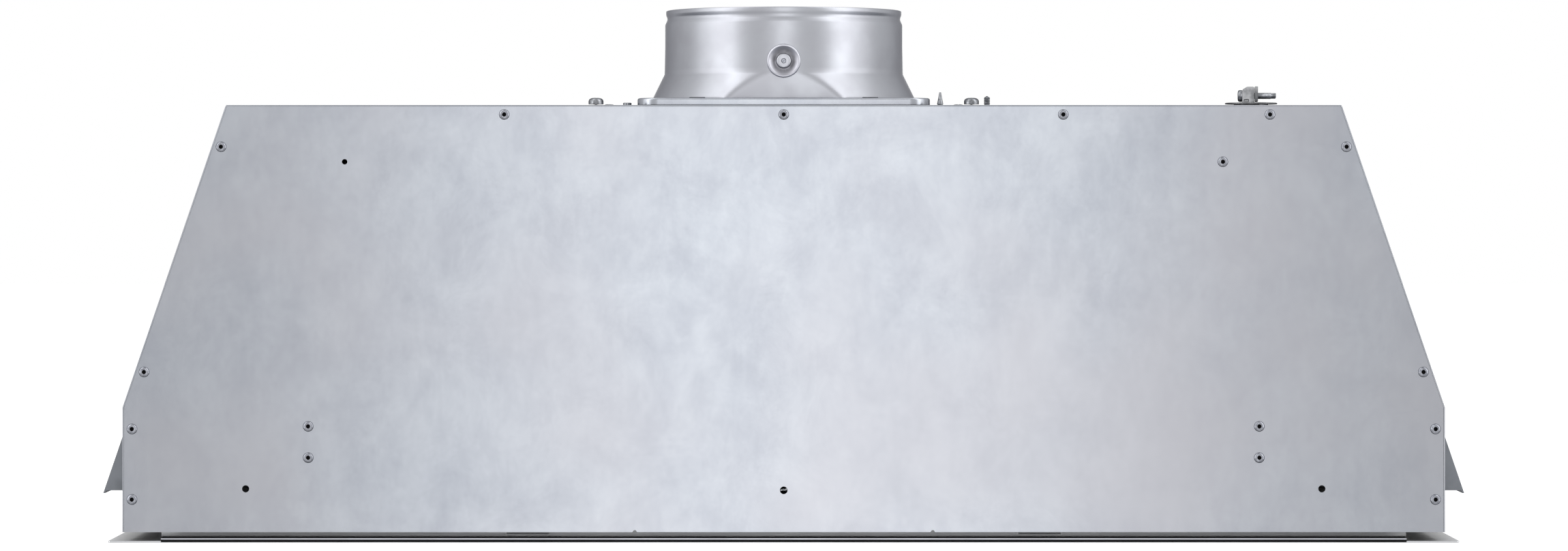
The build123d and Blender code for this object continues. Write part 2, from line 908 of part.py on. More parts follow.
def blower_wheel():
    """Double-inlet squirrel cage: blades through a slotted disc, two end rings and a hub."""
    half = wheel_length / 2
    blade = extrude(across_wheel(-half + wheel_ring) * blade_face(), amount=wheel_length - 2 * wheel_ring)
    axis = Axis((0, wheel_y, wheel_z), (1, 0, 0))
    blades = [blade.rotate(axis, i * 360 / blade_count) for i in range(blade_count)]
    ring_face = Circle(wheel_radius) - Circle(wheel_radius - 2 * wheel_ring)
    rings = [extrude(across_wheel(x) * ring_face, amount=wheel_ring) for x in (-half, half - wheel_ring)]
    disc = rod_x(wheel_radius, -disc_sheet / 2, disc_sheet / 2, wheel_y, wheel_z)
    disc -= rod_x(hub_radius, -disc_sheet, disc_sheet, wheel_y, wheel_z)
    for blade in blades:
        disc -= blade
    hub = rod_x(hub_radius, -hub_collar, hub_length - hub_collar, wheel_y, wheel_z)
    hub -= rod_x(shaft_radius, -half, half, wheel_y, wheel_z)
    return Compound(children=[*blades, *rings, disc, hub])


def motor_shaft():
    """Shaft from the motor's outer bearing to the end of the wheel's hub."""
    return rod_x(shaft_radius, motor_left() + 2, hub_length, wheel_y, wheel_z)


def motor_left():
    return -motor_overhang - motor_length


def motor_housing():
    """Drawn motor can with a boss at each end and bored for its bearings."""
    left = motor_left()
    right = -motor_overhang
    boss_radius = bearing_radius + boss_wall
    outline = Polygon(
        (0, left - motor_cap_boss),
        (boss_radius, left - motor_cap_boss),
        (boss_radius, left),
        (motor_radius - motor_shoulder, left),
        (motor_radius, left + motor_shoulder),
        (motor_radius, right - motor_shoulder),
        (motor_radius - motor_shoulder, right),
        (boss_radius, right),
        (boss_radius, right + motor_boss),
        (0, right + motor_boss),
        align=None,
    )
    can = Pos(0, wheel_y, wheel_z) * Rot(0, 90, 0) * revolve(Plane.XZ * outline, Axis.Z)
    can -= rod_x(shaft_radius + 1, left, right + motor_boss + 1, wheel_y, wheel_z)
    can -= rod_x(bearing_radius, left, left + bearing_length, wheel_y, wheel_z)
    bore_start = right + motor_boss - bearing_length
    return can - rod_x(bearing_radius, bore_start, right + motor_boss + 1, wheel_y, wheel_z)


def motor_bearings():
    """Two sleeve bearings, a running fit on the shaft."""
    right = -motor_overhang + motor_boss
    solids = []
    for low in (motor_left(), right - bearing_length):
        ring = rod_x(bearing_radius, low, low + bearing_length, wheel_y, wheel_z)
        solids.append(ring - rod_x(
            shaft_radius + running_gap, low - 1, low + bearing_length + 1, wheel_y, wheel_z,
        ))
    return Compound(children=solids)


def motor_bracket():
    """Ring around the motor with arms out to the left side plate."""
    outer_x = -scroll_half_width - sheet
    ring_end = outer_x - arm_stand_off
    ring_start = ring_end - bracket_ring
    bracket = rod_x(motor_radius + arm_sheet, ring_start, ring_end, wheel_y, wheel_z)
    for i in range(arm_count):
        turn = Pos(0, wheel_y, wheel_z) * Rot(90 + i * 360 / arm_count, 0, 0)
        arm = block(
            ring_end - arm_sheet, ring_end,
            motor_radius + arm_sheet / 2, arm_reach,
            -arm_width / 2, arm_width / 2,
        )
        foot = block(
            ring_end - arm_sheet, outer_x,
            arm_reach - arm_sheet, arm_reach,
            -arm_width / 2, arm_width / 2,
        )
        bracket += turn * (arm + foot)
    return bracket - rod_x(motor_radius, ring_start - 1, outer_x + 1, wheel_y, wheel_z)


def blower_carrier():
    """Plate under the top panel that carries the scroll, with the throat's opening."""
    plate = block(
        -carrier_half_width - carrier_tab, carrier_half_width + carrier_tab,
        -carrier_half_depth, carrier_half_depth,
        carrier_underside, top_underside,
    )
    plate -= block(
        -scroll_half_width + sheet, scroll_half_width - sheet,
        scroll_front + sheet, tongue_y() - sheet,
        carrier_underside - 1, top_underside + 1,
    )
    for x, y in top_screw_places() + inner_screw_places():
        plate -= rod_z(screw_shank_radius, carrier_underside - 1, top_underside + 1, x, y)
    return plate


def inner_screw_places():
    return [(x, -inner_screw_y) for x in (tip_screw_x, stub_screw_x, -tip_screw_x)]


def top_screws():
    """Pan head screws through the top panel into the carrier."""
    solids = []
    for x, y in top_screw_places():
        head = turned_z([
            (0, housing_top),
            (screw_head_radius, housing_top),
            (screw_head_radius, housing_top + screw_head_height * screw_shoulder),
            (screw_head_radius * screw_crown, housing_top + screw_head_height),
            (0, housing_top + screw_head_height),
        ], x, y)
        solids.append(head + rod_z(screw_shank_radius, carrier_underside - screw_reach, housing_top, x, y))
    return Compound(children=solids)


def inner_screws():
    """Screws driven from inside: a pointed one, a blunt one and a low one show on top."""
    under = carrier_underside
    head_radius = screw_shank_radius * 2
    pointed = turned_z([
        (0, under - inner_head_height),
        (head_radius, under - inner_head_height),
        (head_radius, under),
        (screw_shank_radius, under),
        (screw_shank_radius, housing_top + tip_screw_height - screw_point),
        (0, housing_top + tip_screw_height),
    ], tip_screw_x, -inner_screw_y)
    blunt = rod_z(screw_shank_radius, under, housing_top + stub_screw_height, stub_screw_x, -inner_screw_y)
    blunt += rod_z(head_radius, under - inner_head_height, under, stub_screw_x, -inner_screw_y)
    low = rod_z(screw_shank_radius, under, housing_top + low_screw_height, -tip_screw_x, -inner_screw_y)
    low += rod_z(head_radius, under - inner_head_height, under, -tip_screw_x, -inner_screw_y)
    return Compound(children=[pointed, blunt, low])


# Wiring

def wiring_box():
    """Folded box under the top panel, open below, with a hole for the cable clamp."""
    front = -half_depth + 2 * sheet
    box = block(
        clamp_x - wiring_half_width, clamp_x + wiring_half_width,
        front, front + wiring_depth,
        top_underside - wiring_height, top_underside,
    )
    box -= block(
        clamp_x - wiring_half_width + sheet, clamp_x + wiring_half_width - sheet,
        front + sheet, front + wiring_depth - sheet,
        top_underside - wiring_height - 1, top_underside - sheet,
    )
    box -= rod_z(clamp_hub_radius, top_underside - 2 * sheet, top_underside + 1, clamp_x, -clamp_y)
    return box & housing_inside()


def housing_inside():
    """The space between the side panels' top hems, for pieces that hang under the top."""
    limit = side_x(top_underside) - hem - seam
    return block(-limit, limit, -half_depth, half_depth, 0, housing_top)


def wiring_cover():
    front = -half_depth + 2 * sheet
    bottom = top_underside - wiring_height
    right = min(clamp_x + wiring_half_width, side_x(top_underside) - hem - seam)
    return block(clamp_x - wiring_half_width, right, front, front + wiring_depth, bottom - sheet, bottom)


def clamp_body():
    """Cable clamp: ring, hub down through the top panel, bore, and a saddle for the cable."""
    ring_top = housing_top + clamp_ring_height
    body = rod_z(clamp_ring_radius, housing_top, ring_top, clamp_x, -clamp_y)
    body += rod_z(clamp_hub_radius, top_underside - clamp_hub_drop, housing_top, clamp_x, -clamp_y)
    saddle = block(
        saddle_left, saddle_face,
        -clamp_y - jaw_half_length, -clamp_y + jaw_half_length,
        housing_top, ring_top + jaw_height,
    )
    outer_top = saddle.edges().filter_by(Axis.Y).group_by(Axis.Z)[-1].sort_by(Axis.X)[0]
    body += chamfer(outer_top, saddle_chamfer)
    body -= rod_z(
        saddle_pocket_radius, ring_top, ring_top + jaw_height + 1, saddle_face, -clamp_y,
    )
    body -= rod_z(
        clamp_bore_radius, top_underside - clamp_hub_drop - 1, ring_top, clamp_x, -clamp_y,
    )
    for y in jaw_screw_ys():
        body -= rod_x(jaw_screw_radius, saddle_left - 1, saddle_face + 1, y, housing_top + jaw_screw_rise)
    return body


def jaw_screw_ys():
    return [-clamp_y - jaw_screw_pitch / 2, -clamp_y + jaw_screw_pitch / 2]


def clamp_jaw():
    """Loose jaw that the two screws draw against the saddle and the cable in its pocket."""
    jaw_x = saddle_face + jaw_gap
    low = housing_top + clamp_ring_height + jaw_gap
    jaw = block(
        jaw_x, jaw_x + jaw_sheet,
        -clamp_y - jaw_half_length, -clamp_y + jaw_half_length,
        low, low + jaw_height,
    )
    for y in jaw_screw_ys():
        jaw -= rod_x(jaw_screw_radius, jaw_x - 1, jaw_x + jaw_sheet + 1, y, housing_top + jaw_screw_rise)
    return jaw


def clamp_screws():
    end = saddle_face + jaw_gap + jaw_sheet + jaw_screw_reach
    solids = []
    for y in jaw_screw_ys():
        screw = rod_x(jaw_screw_radius, saddle_left, end, y, housing_top + jaw_screw_rise)
        screw += rod_x(
            jaw_head_radius, saddle_left - jaw_head_height, saddle_left, y, housing_top + jaw_screw_rise,
        )
        solids.append(screw)
    return Compound(children=solids)


def clamp_locknut():
    """Toothed nut on the clamp's hub, inside the wiring box."""
    top = top_underside - sheet
    nut = Pos(clamp_x, -clamp_y, top - locknut_height) * extrude(
        RegularPolygon(locknut_radius, locknut_sides), amount=locknut_height,
    )
    return nut - rod_z(clamp_hub_radius, top - locknut_height - 1, top + 1, clamp_x, -clamp_y)


def capacitor():
    """Motor capacitor lying along X on the right side plate's outer face."""
    start = scroll_half_width + sheet + clip_sheet
    return rod_x(capacitor_radius, start, start + capacitor_length, -capacitor_y, capacitor_z)


def capacitor_clip():
    """Strap round the capacitor, folded to a foot on the side plate."""
    start = scroll_half_width + sheet
    band_end = start + clip_band
    foot_half = capacitor_radius + clip_foot
    foot = block(
        start, start + clip_sheet,
        -capacitor_y - foot_half, -capacitor_y + foot_half,
        capacitor_z - clip_foot, capacitor_z + clip_foot,
    )
    band = rod_x(capacitor_radius + clip_sheet, start + clip_sheet, band_end, -capacitor_y, capacitor_z)
    band -= rod_x(capacitor_radius, start + clip_sheet, band_end + 1, -capacitor_y, capacitor_z)
    return foot + band


def led_driver():
    """Lamp driver in its plastic case, on the tray's ceiling behind the right lamp."""
    x_low = strap_x + strap_width / 2 + driver_gap
    y_low = lamp_radius + clip_reach + driver_gap
    case = block(
        x_low, x_low + driver_length,
        y_low, y_low + driver_width,
        tray_depth, tray_depth + driver_height,
    )
    return fillet(case.edges().filter_by(Axis.Z), driver_corner)


# Grease filters

def filter_frame():
    """Right filter's channel frame with hinge tabs behind and catch rivets in front."""
    x_low = filter_inner_x + filter_play / 2
    x_high = filter_inner_x + filter_width - filter_play / 2
    frame = block(x_low, x_high, -filter_half_depth, filter_half_depth, filter_bottom, filter_top)
    frame -= block(
        x_low + filter_wall, x_high - filter_wall,
        -filter_half_depth + filter_wall, filter_half_depth - filter_wall,
        filter_bottom + filter_wall, filter_top - filter_wall,
    )
    frame -= block(
        x_low + filter_rim, x_high - filter_rim,
        -filter_half_depth + filter_rim + filter_rail, filter_half_depth - filter_rim,
        filter_bottom - 1, filter_top + 1,
    )
    for side in (-1, 1):
        x = filter_centre_x + side * (filter_width / 2 - hinge_tab_inset)
        frame += block(
            x - hinge_tab_width / 2, x + hinge_tab_width / 2,
            filter_half_depth - filter_wall, filter_half_depth + hinge_tab_reach,
            hinge_tab_z - hinge_tab_sheet / 2, hinge_tab_z + hinge_tab_sheet / 2,
        )
        stud_x = filter_centre_x + side * guide_pitch / 2
        stud_y = -filter_half_depth + guide_back
        low = filter_bottom - seat_gap - catch_sheet - guide_play
        frame += rod_z(guide_radius, low, filter_bottom + filter_wall, stud_x, stud_y)
        frame += rod_z(guide_head_radius, low - 1, low, stud_x, stud_y)
    return frame


def filter_baffles():
    """Two layers of open channels, facing each other and overlapping by their lips."""
    x_low = filter_inner_x + filter_play / 2 + filter_wall
    x_high = filter_inner_x + filter_width - filter_play / 2 - filter_wall
    pitch = (x_high - x_low) / baffle_count
    width = pitch * baffle_share
    low = filter_bottom + filter_wall + baffle_play
    high = filter_top - filter_wall - baffle_play
    channel = Polygon(
        (-width / 2, 0),
        (width / 2, 0),
        (width / 2, baffle_lip),
        (width / 2 - baffle_sheet, baffle_lip),
        (width / 2 - baffle_sheet, baffle_sheet),
        (-width / 2 + baffle_sheet, baffle_sheet),
        (-width / 2 + baffle_sheet, baffle_lip),
        (-width / 2, baffle_lip),
        align=None,
    )
    front = -filter_half_depth + filter_wall + baffle_play
    length = 2 * filter_half_depth - 2 * filter_wall - 2 * baffle_play
    solids = []
    for i in range(baffle_count):
        place = Pos(x_low + (i + 0.5) * pitch, low)
        solids.append(upright(place * channel, front, length))
    for i in range(baffle_count - 1):
        place = Pos(x_low + (i + 1) * pitch, high) * Rot(0, 0, 180)
        solids.append(upright(place * channel, front, length))
    return Compound(children=solids)


def filter_catch():
    """Sliding catch under the filter's front rail: nose, two guide slots and a finger lip."""
    top = filter_bottom - seat_gap
    low = top - catch_sheet
    nose = -tray_half_depth - catch_reach
    back = nose + catch_length
    catch = block(
        filter_centre_x - catch_width / 2, filter_centre_x + catch_width / 2,
        nose, back, low, top,
    )
    catch += block(
        filter_centre_x - catch_width / 2, filter_centre_x + catch_width / 2,
        back - catch_sheet, back, low - catch_lip, top,
    )
    stud_y = -filter_half_depth + guide_back
    slot_half = guide_radius + guide_play
    for side in (-1, 1):
        x = filter_centre_x + side * guide_pitch / 2
        catch -= block(
            x - slot_half, x + slot_half,
            stud_y - slot_half - catch_travel, stud_y + slot_half,
            low - 1, top + 1,
        )
    return catch


# Controls

def button_xs():
    return [(i - (button_count - 1) / 2) * button_pitch for i in range(button_count)]


def control_bezel():
    """Moulded plate under the console, with a hole for each button."""
    plate = extrude(
        RectangleRounded(2 * bezel_half_width, 2 * bezel_half_depth, bezel_corner),
        amount=bezel_thickness,
    )
    bezel = Pos(0, -button_y, tray_ceiling - bezel_thickness) * plate
    for x in button_xs():
        bezel -= rod_z(
            button_radius + button_play, tray_ceiling - bezel_thickness - 1, tray_ceiling + 1, x, -button_y,
        )
    return bezel


def push_button(x):
    """Round button with a slightly crowned face and a collar that keeps it in the bezel."""
    collar_low = tray_ceiling + seat_gap
    return turned_z([
        (0, button_low),
        (button_radius - 1, button_low),
        (button_radius, button_low + 1),
        (button_radius, collar_low),
        (button_radius + button_collar, collar_low),
        (button_radius + button_collar, collar_low + button_collar_height),
        (button_radius - 2, collar_low + button_collar_height),
        (button_radius - 2, button_low + button_stem + button_collar_height),
        (0, button_low + button_stem + button_collar_height),
    ], x, -button_y)


def switch_board():
    """Circuit board with one switch body over each button."""
    low = button_low + button_stem + button_collar_height + button_travel + seat_gap
    board_low = low + switch_height
    board = block(
        -control_half_width + sheet, control_half_width - sheet,
        -button_y - board_front, -button_y + board_back,
        board_low, board_low + board_thickness,
    )
    for x in button_xs():
        board += block(
            x - switch_size / 2, x + switch_size / 2,
            -button_y - switch_size / 2, -button_y + switch_size / 2,
            low, board_low,
        )
    return board


def control_box():
    """Folded cover over the switches, open below, standing on the tray."""
    front = -half_depth + sheet + control_front_gap
    box = block(
        -control_half_width, control_half_width,
        front, front + control_length,
        tray_depth, tray_depth + control_height,
    )
    return box - block(
        -control_half_width + sheet, control_half_width - sheet,
        front + sheet, front + control_length - sheet,
        tray_depth - 1, tray_depth + control_height - sheet,
    )


# Lamps

def lamp_housing():
    """Turned lamp body: trim ring below the ceiling, can above, open downward."""
    low = tray_ceiling - lamp_trim_height
    top = tray_ceiling + lamp_height
    inner = lamp_radius - lamp_wall
    return turned_z([
        (inner, low),
        (lamp_radius + lamp_trim, low),
        (lamp_radius + lamp_trim, tray_ceiling),
        (lamp_radius, tray_ceiling),
        (lamp_radius, top - lamp_shoulder),
        (lamp_radius - lamp_shoulder, top),
        (0, top),
        (0, top - lamp_wall),
        (inner - lamp_shoulder, top - lamp_wall),
        (inner, top - lamp_shoulder),
    ], lamp_x)


def lamp_lens():
    low = tray_ceiling - lamp_trim_height + lens_recess
    return rod_z(lamp_radius - lamp_wall, low, low + lens_thickness, lamp_x)


def lamp_board():
    """Round LED board against the top of the lamp's can."""
    top = tray_ceiling + lamp_height - lamp_wall
    board = rod_z(lamp_radius - lamp_wall - led_board_inset, top - board_thickness, top, lamp_x)
    for i in range(led_count):
        led = Pos(lamp_x, 0, 0) * Rot(0, 0, i * 360 / led_count) * block(
            led_start, led_start + led_size,
            -led_size / 2, led_size / 2,
            top - board_thickness - led_height, top - board_thickness,
        )
        board += led
    return board


def lamp_clips():
    """Two spring clips that hold a lamp down on the tray's ceiling."""
    profile = Polygon(
        (lamp_radius, tray_depth + clip_rise),
        (lamp_radius + clip_reach - clip_sheet, tray_depth),
        (lamp_radius + clip_reach, tray_depth),
        (lamp_radius + clip_sheet, tray_depth + clip_rise + clip_sheet),
        (lamp_radius, tray_depth + clip_rise + clip_sheet),
        align=None,
    )
    clip = upright(profile, -clip_width / 2, clip_width)
    return [Pos(lamp_x, 0, 0) * Rot(0, 0, turn) * clip for turn in (90, 270)]


def pair(shape):
    """A right-hand piece and its mirror image as one group."""
    return Compound(children=[shape, mirror_x(shape)])


def twins(name, shape):
    """A right-hand piece and its left-hand mirror image, under their names."""
    return {"right_" + name: shape, "left_" + name: mirror_x(shape)}


def all_parts():
    parts = {
        "front_panel": front_panel(),
        "rear_panel": rear_panel(),
        "top_panel": top_panel(),
        "panel_rivets": panel_rivets(),
        "base_tray": base_tray(),
        "flange_seal": flange_seal(),
        "tray_straps": tray_straps(),
        "tray_screws": tray_screws(),
        "duct_collar": duct_collar(),
        "damper_spindle": damper_spindle(),
        "spindle_bushes": Compound(children=[spindle_bush(), mirror_y(spindle_bush())]),
        "right_damper_flap": damper_flap(1, 0),
        "left_damper_flap": damper_flap(-1, 1),
        "scroll_wrapper": scroll_wrapper(),
        "inlet_ring": inlet_ring(),
        "blower_wheel": blower_wheel(),
        "motor_shaft": motor_shaft(),
        "motor_housing": motor_housing(),
        "motor_bearings": motor_bearings(),
        "motor_bracket": motor_bracket(),
        "blower_carrier": blower_carrier(),
        "top_screws": top_screws(),
        "inner_screws": inner_screws(),
        "wiring_box": wiring_box(),
        "wiring_cover": wiring_cover(),
        "cable_clamp": clamp_body(),
        "cable_clamp_jaw": clamp_jaw(),
        "cable_clamp_screws": clamp_screws(),
        "cable_clamp_locknut": clamp_locknut(),
        "capacitor": capacitor(),
        "capacitor_clip": capacitor_clip(),
        "led_driver": led_driver(),
        "control_bezel": control_bezel(),
        "switch_board": switch_board(),
        "control_box": control_box(),
        "wing_pins": pair(wing_pin()),
        "wing_springs": pair(wing_spring()),
        "lamp_boards": pair(lamp_board()),
        "lamp_clips": Compound(children=lamp_clips() + [mirror_x(clip) for clip in lamp_clips()]),
    }
    parts |= twins("side_panel", side_panel())
    parts |= twins("wing", wing())
    parts |= twins("scroll_side", scroll_side())
    parts |= twins("filter_frame", filter_frame())
    parts |= twins("filter_baffles", filter_baffles())
    parts |= twins("filter_catch", filter_catch())
    parts |= twins("lamp_housing", lamp_housing())
    parts |= twins("lamp_lens", lamp_lens())
    for name, x in zip(("light", "off", "low", "medium", "high"), button_xs()):
        parts[name + "_button"] = push_button(x)
    return parts


os.makedirs("parts", exist_ok=True)
for name, shape in all_parts().items():
    export_step(shape, "parts/" + name + ".step")
    print(name)
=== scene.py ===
import json
import math
import bpy
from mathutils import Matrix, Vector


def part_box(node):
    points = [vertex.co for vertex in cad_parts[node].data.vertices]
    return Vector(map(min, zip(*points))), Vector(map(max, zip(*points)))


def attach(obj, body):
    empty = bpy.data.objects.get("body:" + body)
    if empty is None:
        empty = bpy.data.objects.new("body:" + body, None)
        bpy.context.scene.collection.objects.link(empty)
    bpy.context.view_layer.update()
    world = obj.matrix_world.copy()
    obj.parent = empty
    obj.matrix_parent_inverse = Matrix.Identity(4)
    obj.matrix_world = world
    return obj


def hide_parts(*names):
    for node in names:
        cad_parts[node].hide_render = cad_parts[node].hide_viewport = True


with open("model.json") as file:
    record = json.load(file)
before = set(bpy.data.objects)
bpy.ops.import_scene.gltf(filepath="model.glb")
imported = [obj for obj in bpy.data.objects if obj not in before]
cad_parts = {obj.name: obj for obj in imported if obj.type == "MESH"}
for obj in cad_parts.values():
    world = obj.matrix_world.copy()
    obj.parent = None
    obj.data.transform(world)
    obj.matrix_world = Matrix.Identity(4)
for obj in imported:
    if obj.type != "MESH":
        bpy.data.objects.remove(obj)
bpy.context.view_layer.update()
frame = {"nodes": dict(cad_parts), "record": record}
print("frame loaded:", len(frame["nodes"]), "nodes")

mm = 0.001
fullTurn = math.tau
spindleHeight = 293.5  # mm, where the damper's spindle crosses the collar
fanCentre = (0, 30.0, 128.0)  # mm, on the blower's shaft


# small helpers

spokenNames = {
    "control_bezel": "buttonBezel", "led_driver": "lampDriver",
    "board": "circuitBoard", "lens": "frostedLens",
}


def ownName(name):
    # a name of the frame in the style of this scene
    first, *rest = name.split("_")
    return spokenNames.get(name, first + "".join(word.capitalize() for word in rest))


def deselectAll():
    bpy.ops.object.select_all(action="DESELECT")


def makeActive(*pieces):
    deselectAll()
    for piece in pieces:
        piece.select_set(True)
    bpy.context.view_layer.objects.active = pieces[0]


def rgb(red, green, blue):
    # screen colour 0-255 to the linear value that a shader takes
    def linear(value):
        share = value / 255
        return share / 12.92 if share <= 0.04045 else ((share + 0.055) / 1.055) ** 2.4
    return (linear(red), linear(green), linear(blue), 1)


def traced(name, points):
    # a line through points in mm, pulled out from one corner to the next
    deselectAll()
    bpy.ops.mesh.primitive_plane_add(size=mm, location=[v * mm for v in points[0]])
    piece = bpy.context.object
    piece.name = name
    bpy.ops.object.transform_apply(location=True)
    bpy.ops.object.mode_set(mode="EDIT")
    bpy.ops.mesh.merge(type="CENTER")
    for first, second in zip(points, points[1:]):
        step = [(b - a) * mm for a, b in zip(first, second)]
        bpy.ops.mesh.extrude_region_move(TRANSFORM_OT_translate={"value": step})
    bpy.ops.mesh.select_all(action="SELECT")
    return piece


def faceOut():
    # turns all faces outwards and leaves edit mode
    bpy.ops.mesh.select_all(action="SELECT")
    bpy.ops.mesh.normals_make_consistent(inside=False)
    bpy.ops.object.mode_set(mode="OBJECT")


def turned(name, outline, steps=64):
    # a lathe: the outline is (radius, height) in mm, spun about Z
    piece = traced(name, [(radius, 0, height) for radius, height in outline])
    bpy.ops.mesh.spin(steps=steps, angle=fullTurn, center=(0, 0, 0), axis=(0, 0, 1))
    bpy.ops.mesh.select_all(action="SELECT")
    bpy.ops.mesh.remove_doubles(threshold=0.004 * mm)
    faceOut()
    return piece


def arc(centreRadius, centreHeight, size, start, end, count):
    # points of a round in an outline, angles in degrees
    points = []
    for i in range(count + 1):
        turn = math.radians(start + (end - start) * i / count)
        points.append((centreRadius + size * math.cos(turn), centreHeight + size * math.sin(turn)))
    return points


def bar(name, low, high, rounding=0.0, segments=3):
    # a block between two corners in mm, its edges rounded over
    deselectAll()
    size = [b - a for a, b in zip(low, high)]
    centre = [(a + b) / 2 * mm for a, b in zip(low, high)]
    bpy.ops.mesh.primitive_cube_add(size=mm, location=centre)
    piece = bpy.context.object
    piece.name = name
    piece.scale = size
    bpy.ops.object.transform_apply(location=True, scale=True)
    if rounding:
        bpy.ops.object.mode_set(mode="EDIT")
        bpy.ops.mesh.select_all(action="SELECT")
        bpy.ops.mesh.bevel(offset=rounding * mm, segments=segments, affect="EDGES")
        bpy.ops.object.mode_set(mode="OBJECT")
    return piece


def drawn(name, outline, low, high, axis="y"):
    # a closed outline in mm, drawn square to an axis and pulled out along it
    spots = [{"x": (low, a, b), "y": (a, low, b), "z": (a, b, low)}[axis] for a, b in outline]
    piece = traced(name, spots)
    bpy.ops.mesh.edge_face_add()
    length = [(high - low) * mm if letter == axis else 0 for letter in "xyz"]
    bpy.ops.mesh.extrude_region_move(TRANSFORM_OT_translate={"value": length})
    faceOut()
    return piece


def place(piece, at=(0, 0, 0), turn=(0, 0, 0)):
    # turn in degrees, place in mm, both put into the mesh
    makeActive(piece)
    piece.location = [v * mm for v in at]
    piece.rotation_euler = [math.radians(v) for v in turn]
    bpy.ops.object.transform_apply(location=True, rotation=True, scale=True)
    return piece


def picked(table, keys):
    # several values of a piece's dictionary at once
    return [table[key] for key in keys.split()]


def copied(piece, name):
    # a copy with its own mesh
    twin = piece.copy()
    twin.data = piece.data.copy()
    twin.name = name
    bpy.context.collection.objects.link(twin)
    return twin


def another(piece, name, at=(0, 0, 0), turn=(0, 0, 0)):
    return place(copied(piece, name), at, turn)


def scattered(piece, spots):
    # copies at each place and turn, instead of the first one
    copies = [another(piece, f"{piece.name}{i}", *spot) for i, spot in enumerate(spots)]
    bpy.data.objects.remove(piece)
    return copies


def mirrored(piece, name, axis):
    # a copy flipped across a middle plane, its faces turned right side out again
    twin = copied(piece, name)
    makeActive(twin)
    twin.scale["xyz".index(axis)] = -1
    bpy.ops.object.transform_apply(scale=True)
    bpy.ops.object.mode_set(mode="EDIT")
    faceOut()
    return twin


def joined(pieces, name):
    makeActive(*pieces)
    if len(pieces) > 1:
        bpy.ops.object.join()
    whole = bpy.context.object
    whole.name = name
    return whole


def applied(piece, kind, **settings):
    # one modifier, set and applied at once
    makeActive(piece)
    modifier = piece.modifiers.new("step", kind)
    for name, value in settings.items():
        setattr(modifier, name, value)
    bpy.ops.object.modifier_apply(modifier="step")
    return piece


def cutAway(piece, cutter):
    applied(piece, "BOOLEAN", operation="DIFFERENCE", object=cutter)
    bpy.data.objects.remove(cutter)
    return piece


def softEdges(piece, width, angle=40):
    limit = {"limit_method": "ANGLE", "angle_limit": math.radians(angle)}
    return applied(piece, "BEVEL", width=width * mm, segments=2, **limit)


def sheetCopy(node, name):
    # a copy of a CAD sheet with its loose triangles merged, ready to be finished by hand
    piece = copied(frame["nodes"][node], name)
    piece.parent = None
    makeActive(piece)
    bpy.ops.object.mode_set(mode="EDIT")
    bpy.ops.mesh.select_all(action="SELECT")
    bpy.ops.mesh.remove_doubles(threshold=0.002 * mm)
    bpy.ops.mesh.dissolve_limited(angle_limit=math.radians(0.5))
    bpy.ops.object.mode_set(mode="OBJECT")
    return piece


def smooth(piece, angle=35):
    makeActive(piece)
    bpy.ops.object.shade_smooth_by_angle(angle=math.radians(angle))
    return piece


def lathe(name, outline, steps, angle, at, turn=(0, 0, 0)):
    return place(smooth(turned(name, outline, steps), angle), at, turn)


def smoothFlats(piece, angle=32):
    # rounds the edges' shading and leaves the large flats flat
    return applied(smooth(piece, angle), "WEIGHTED_NORMAL", weight=100, keep_sharp=True)


def dress(piece, slot, body, *nodes):
    # the slot's finish, the body it rides on and the CAD nodes that it stands for
    piece.data.materials.clear()
    piece.data.materials.append(finishes[slot])
    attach(piece, body)
    if nodes:
        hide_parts(*nodes)
    return piece


def recoat(piece, finish, belongs):
    # one more finish, on the faces whose middle in mm passes a test
    piece.data.materials.append(finish)
    for face in piece.data.polygons:
        if belongs(*(face.center / mm)):
            face.material_index = len(piece.data.materials) - 1


# camera, as the photograph was taken: square on from the front

camera = {
    "distance": 2702,
    "height": 212.9,
    "lens": 97.34,
    "sensor": 36,
    "shiftX": 0.00017,
    "shiftY": -0.0539,
}


def setCamera():
    data = bpy.data.cameras.new("photoCamera")
    data.lens = camera["lens"]
    data.sensor_width = camera["sensor"]
    data.shift_x = camera["shiftX"]
    data.shift_y = camera["shiftY"]
    data.clip_start = 0.05
    holder = bpy.data.objects.new("photoCamera", data)
    bpy.context.collection.objects.link(holder)
    holder.location = (0, -camera["distance"] * mm, camera["height"] * mm)
    holder.rotation_euler = (math.radians(90), 0, 0)
    bpy.context.scene.camera = holder


setCamera()
print("camera set")


# node helpers for the finishes

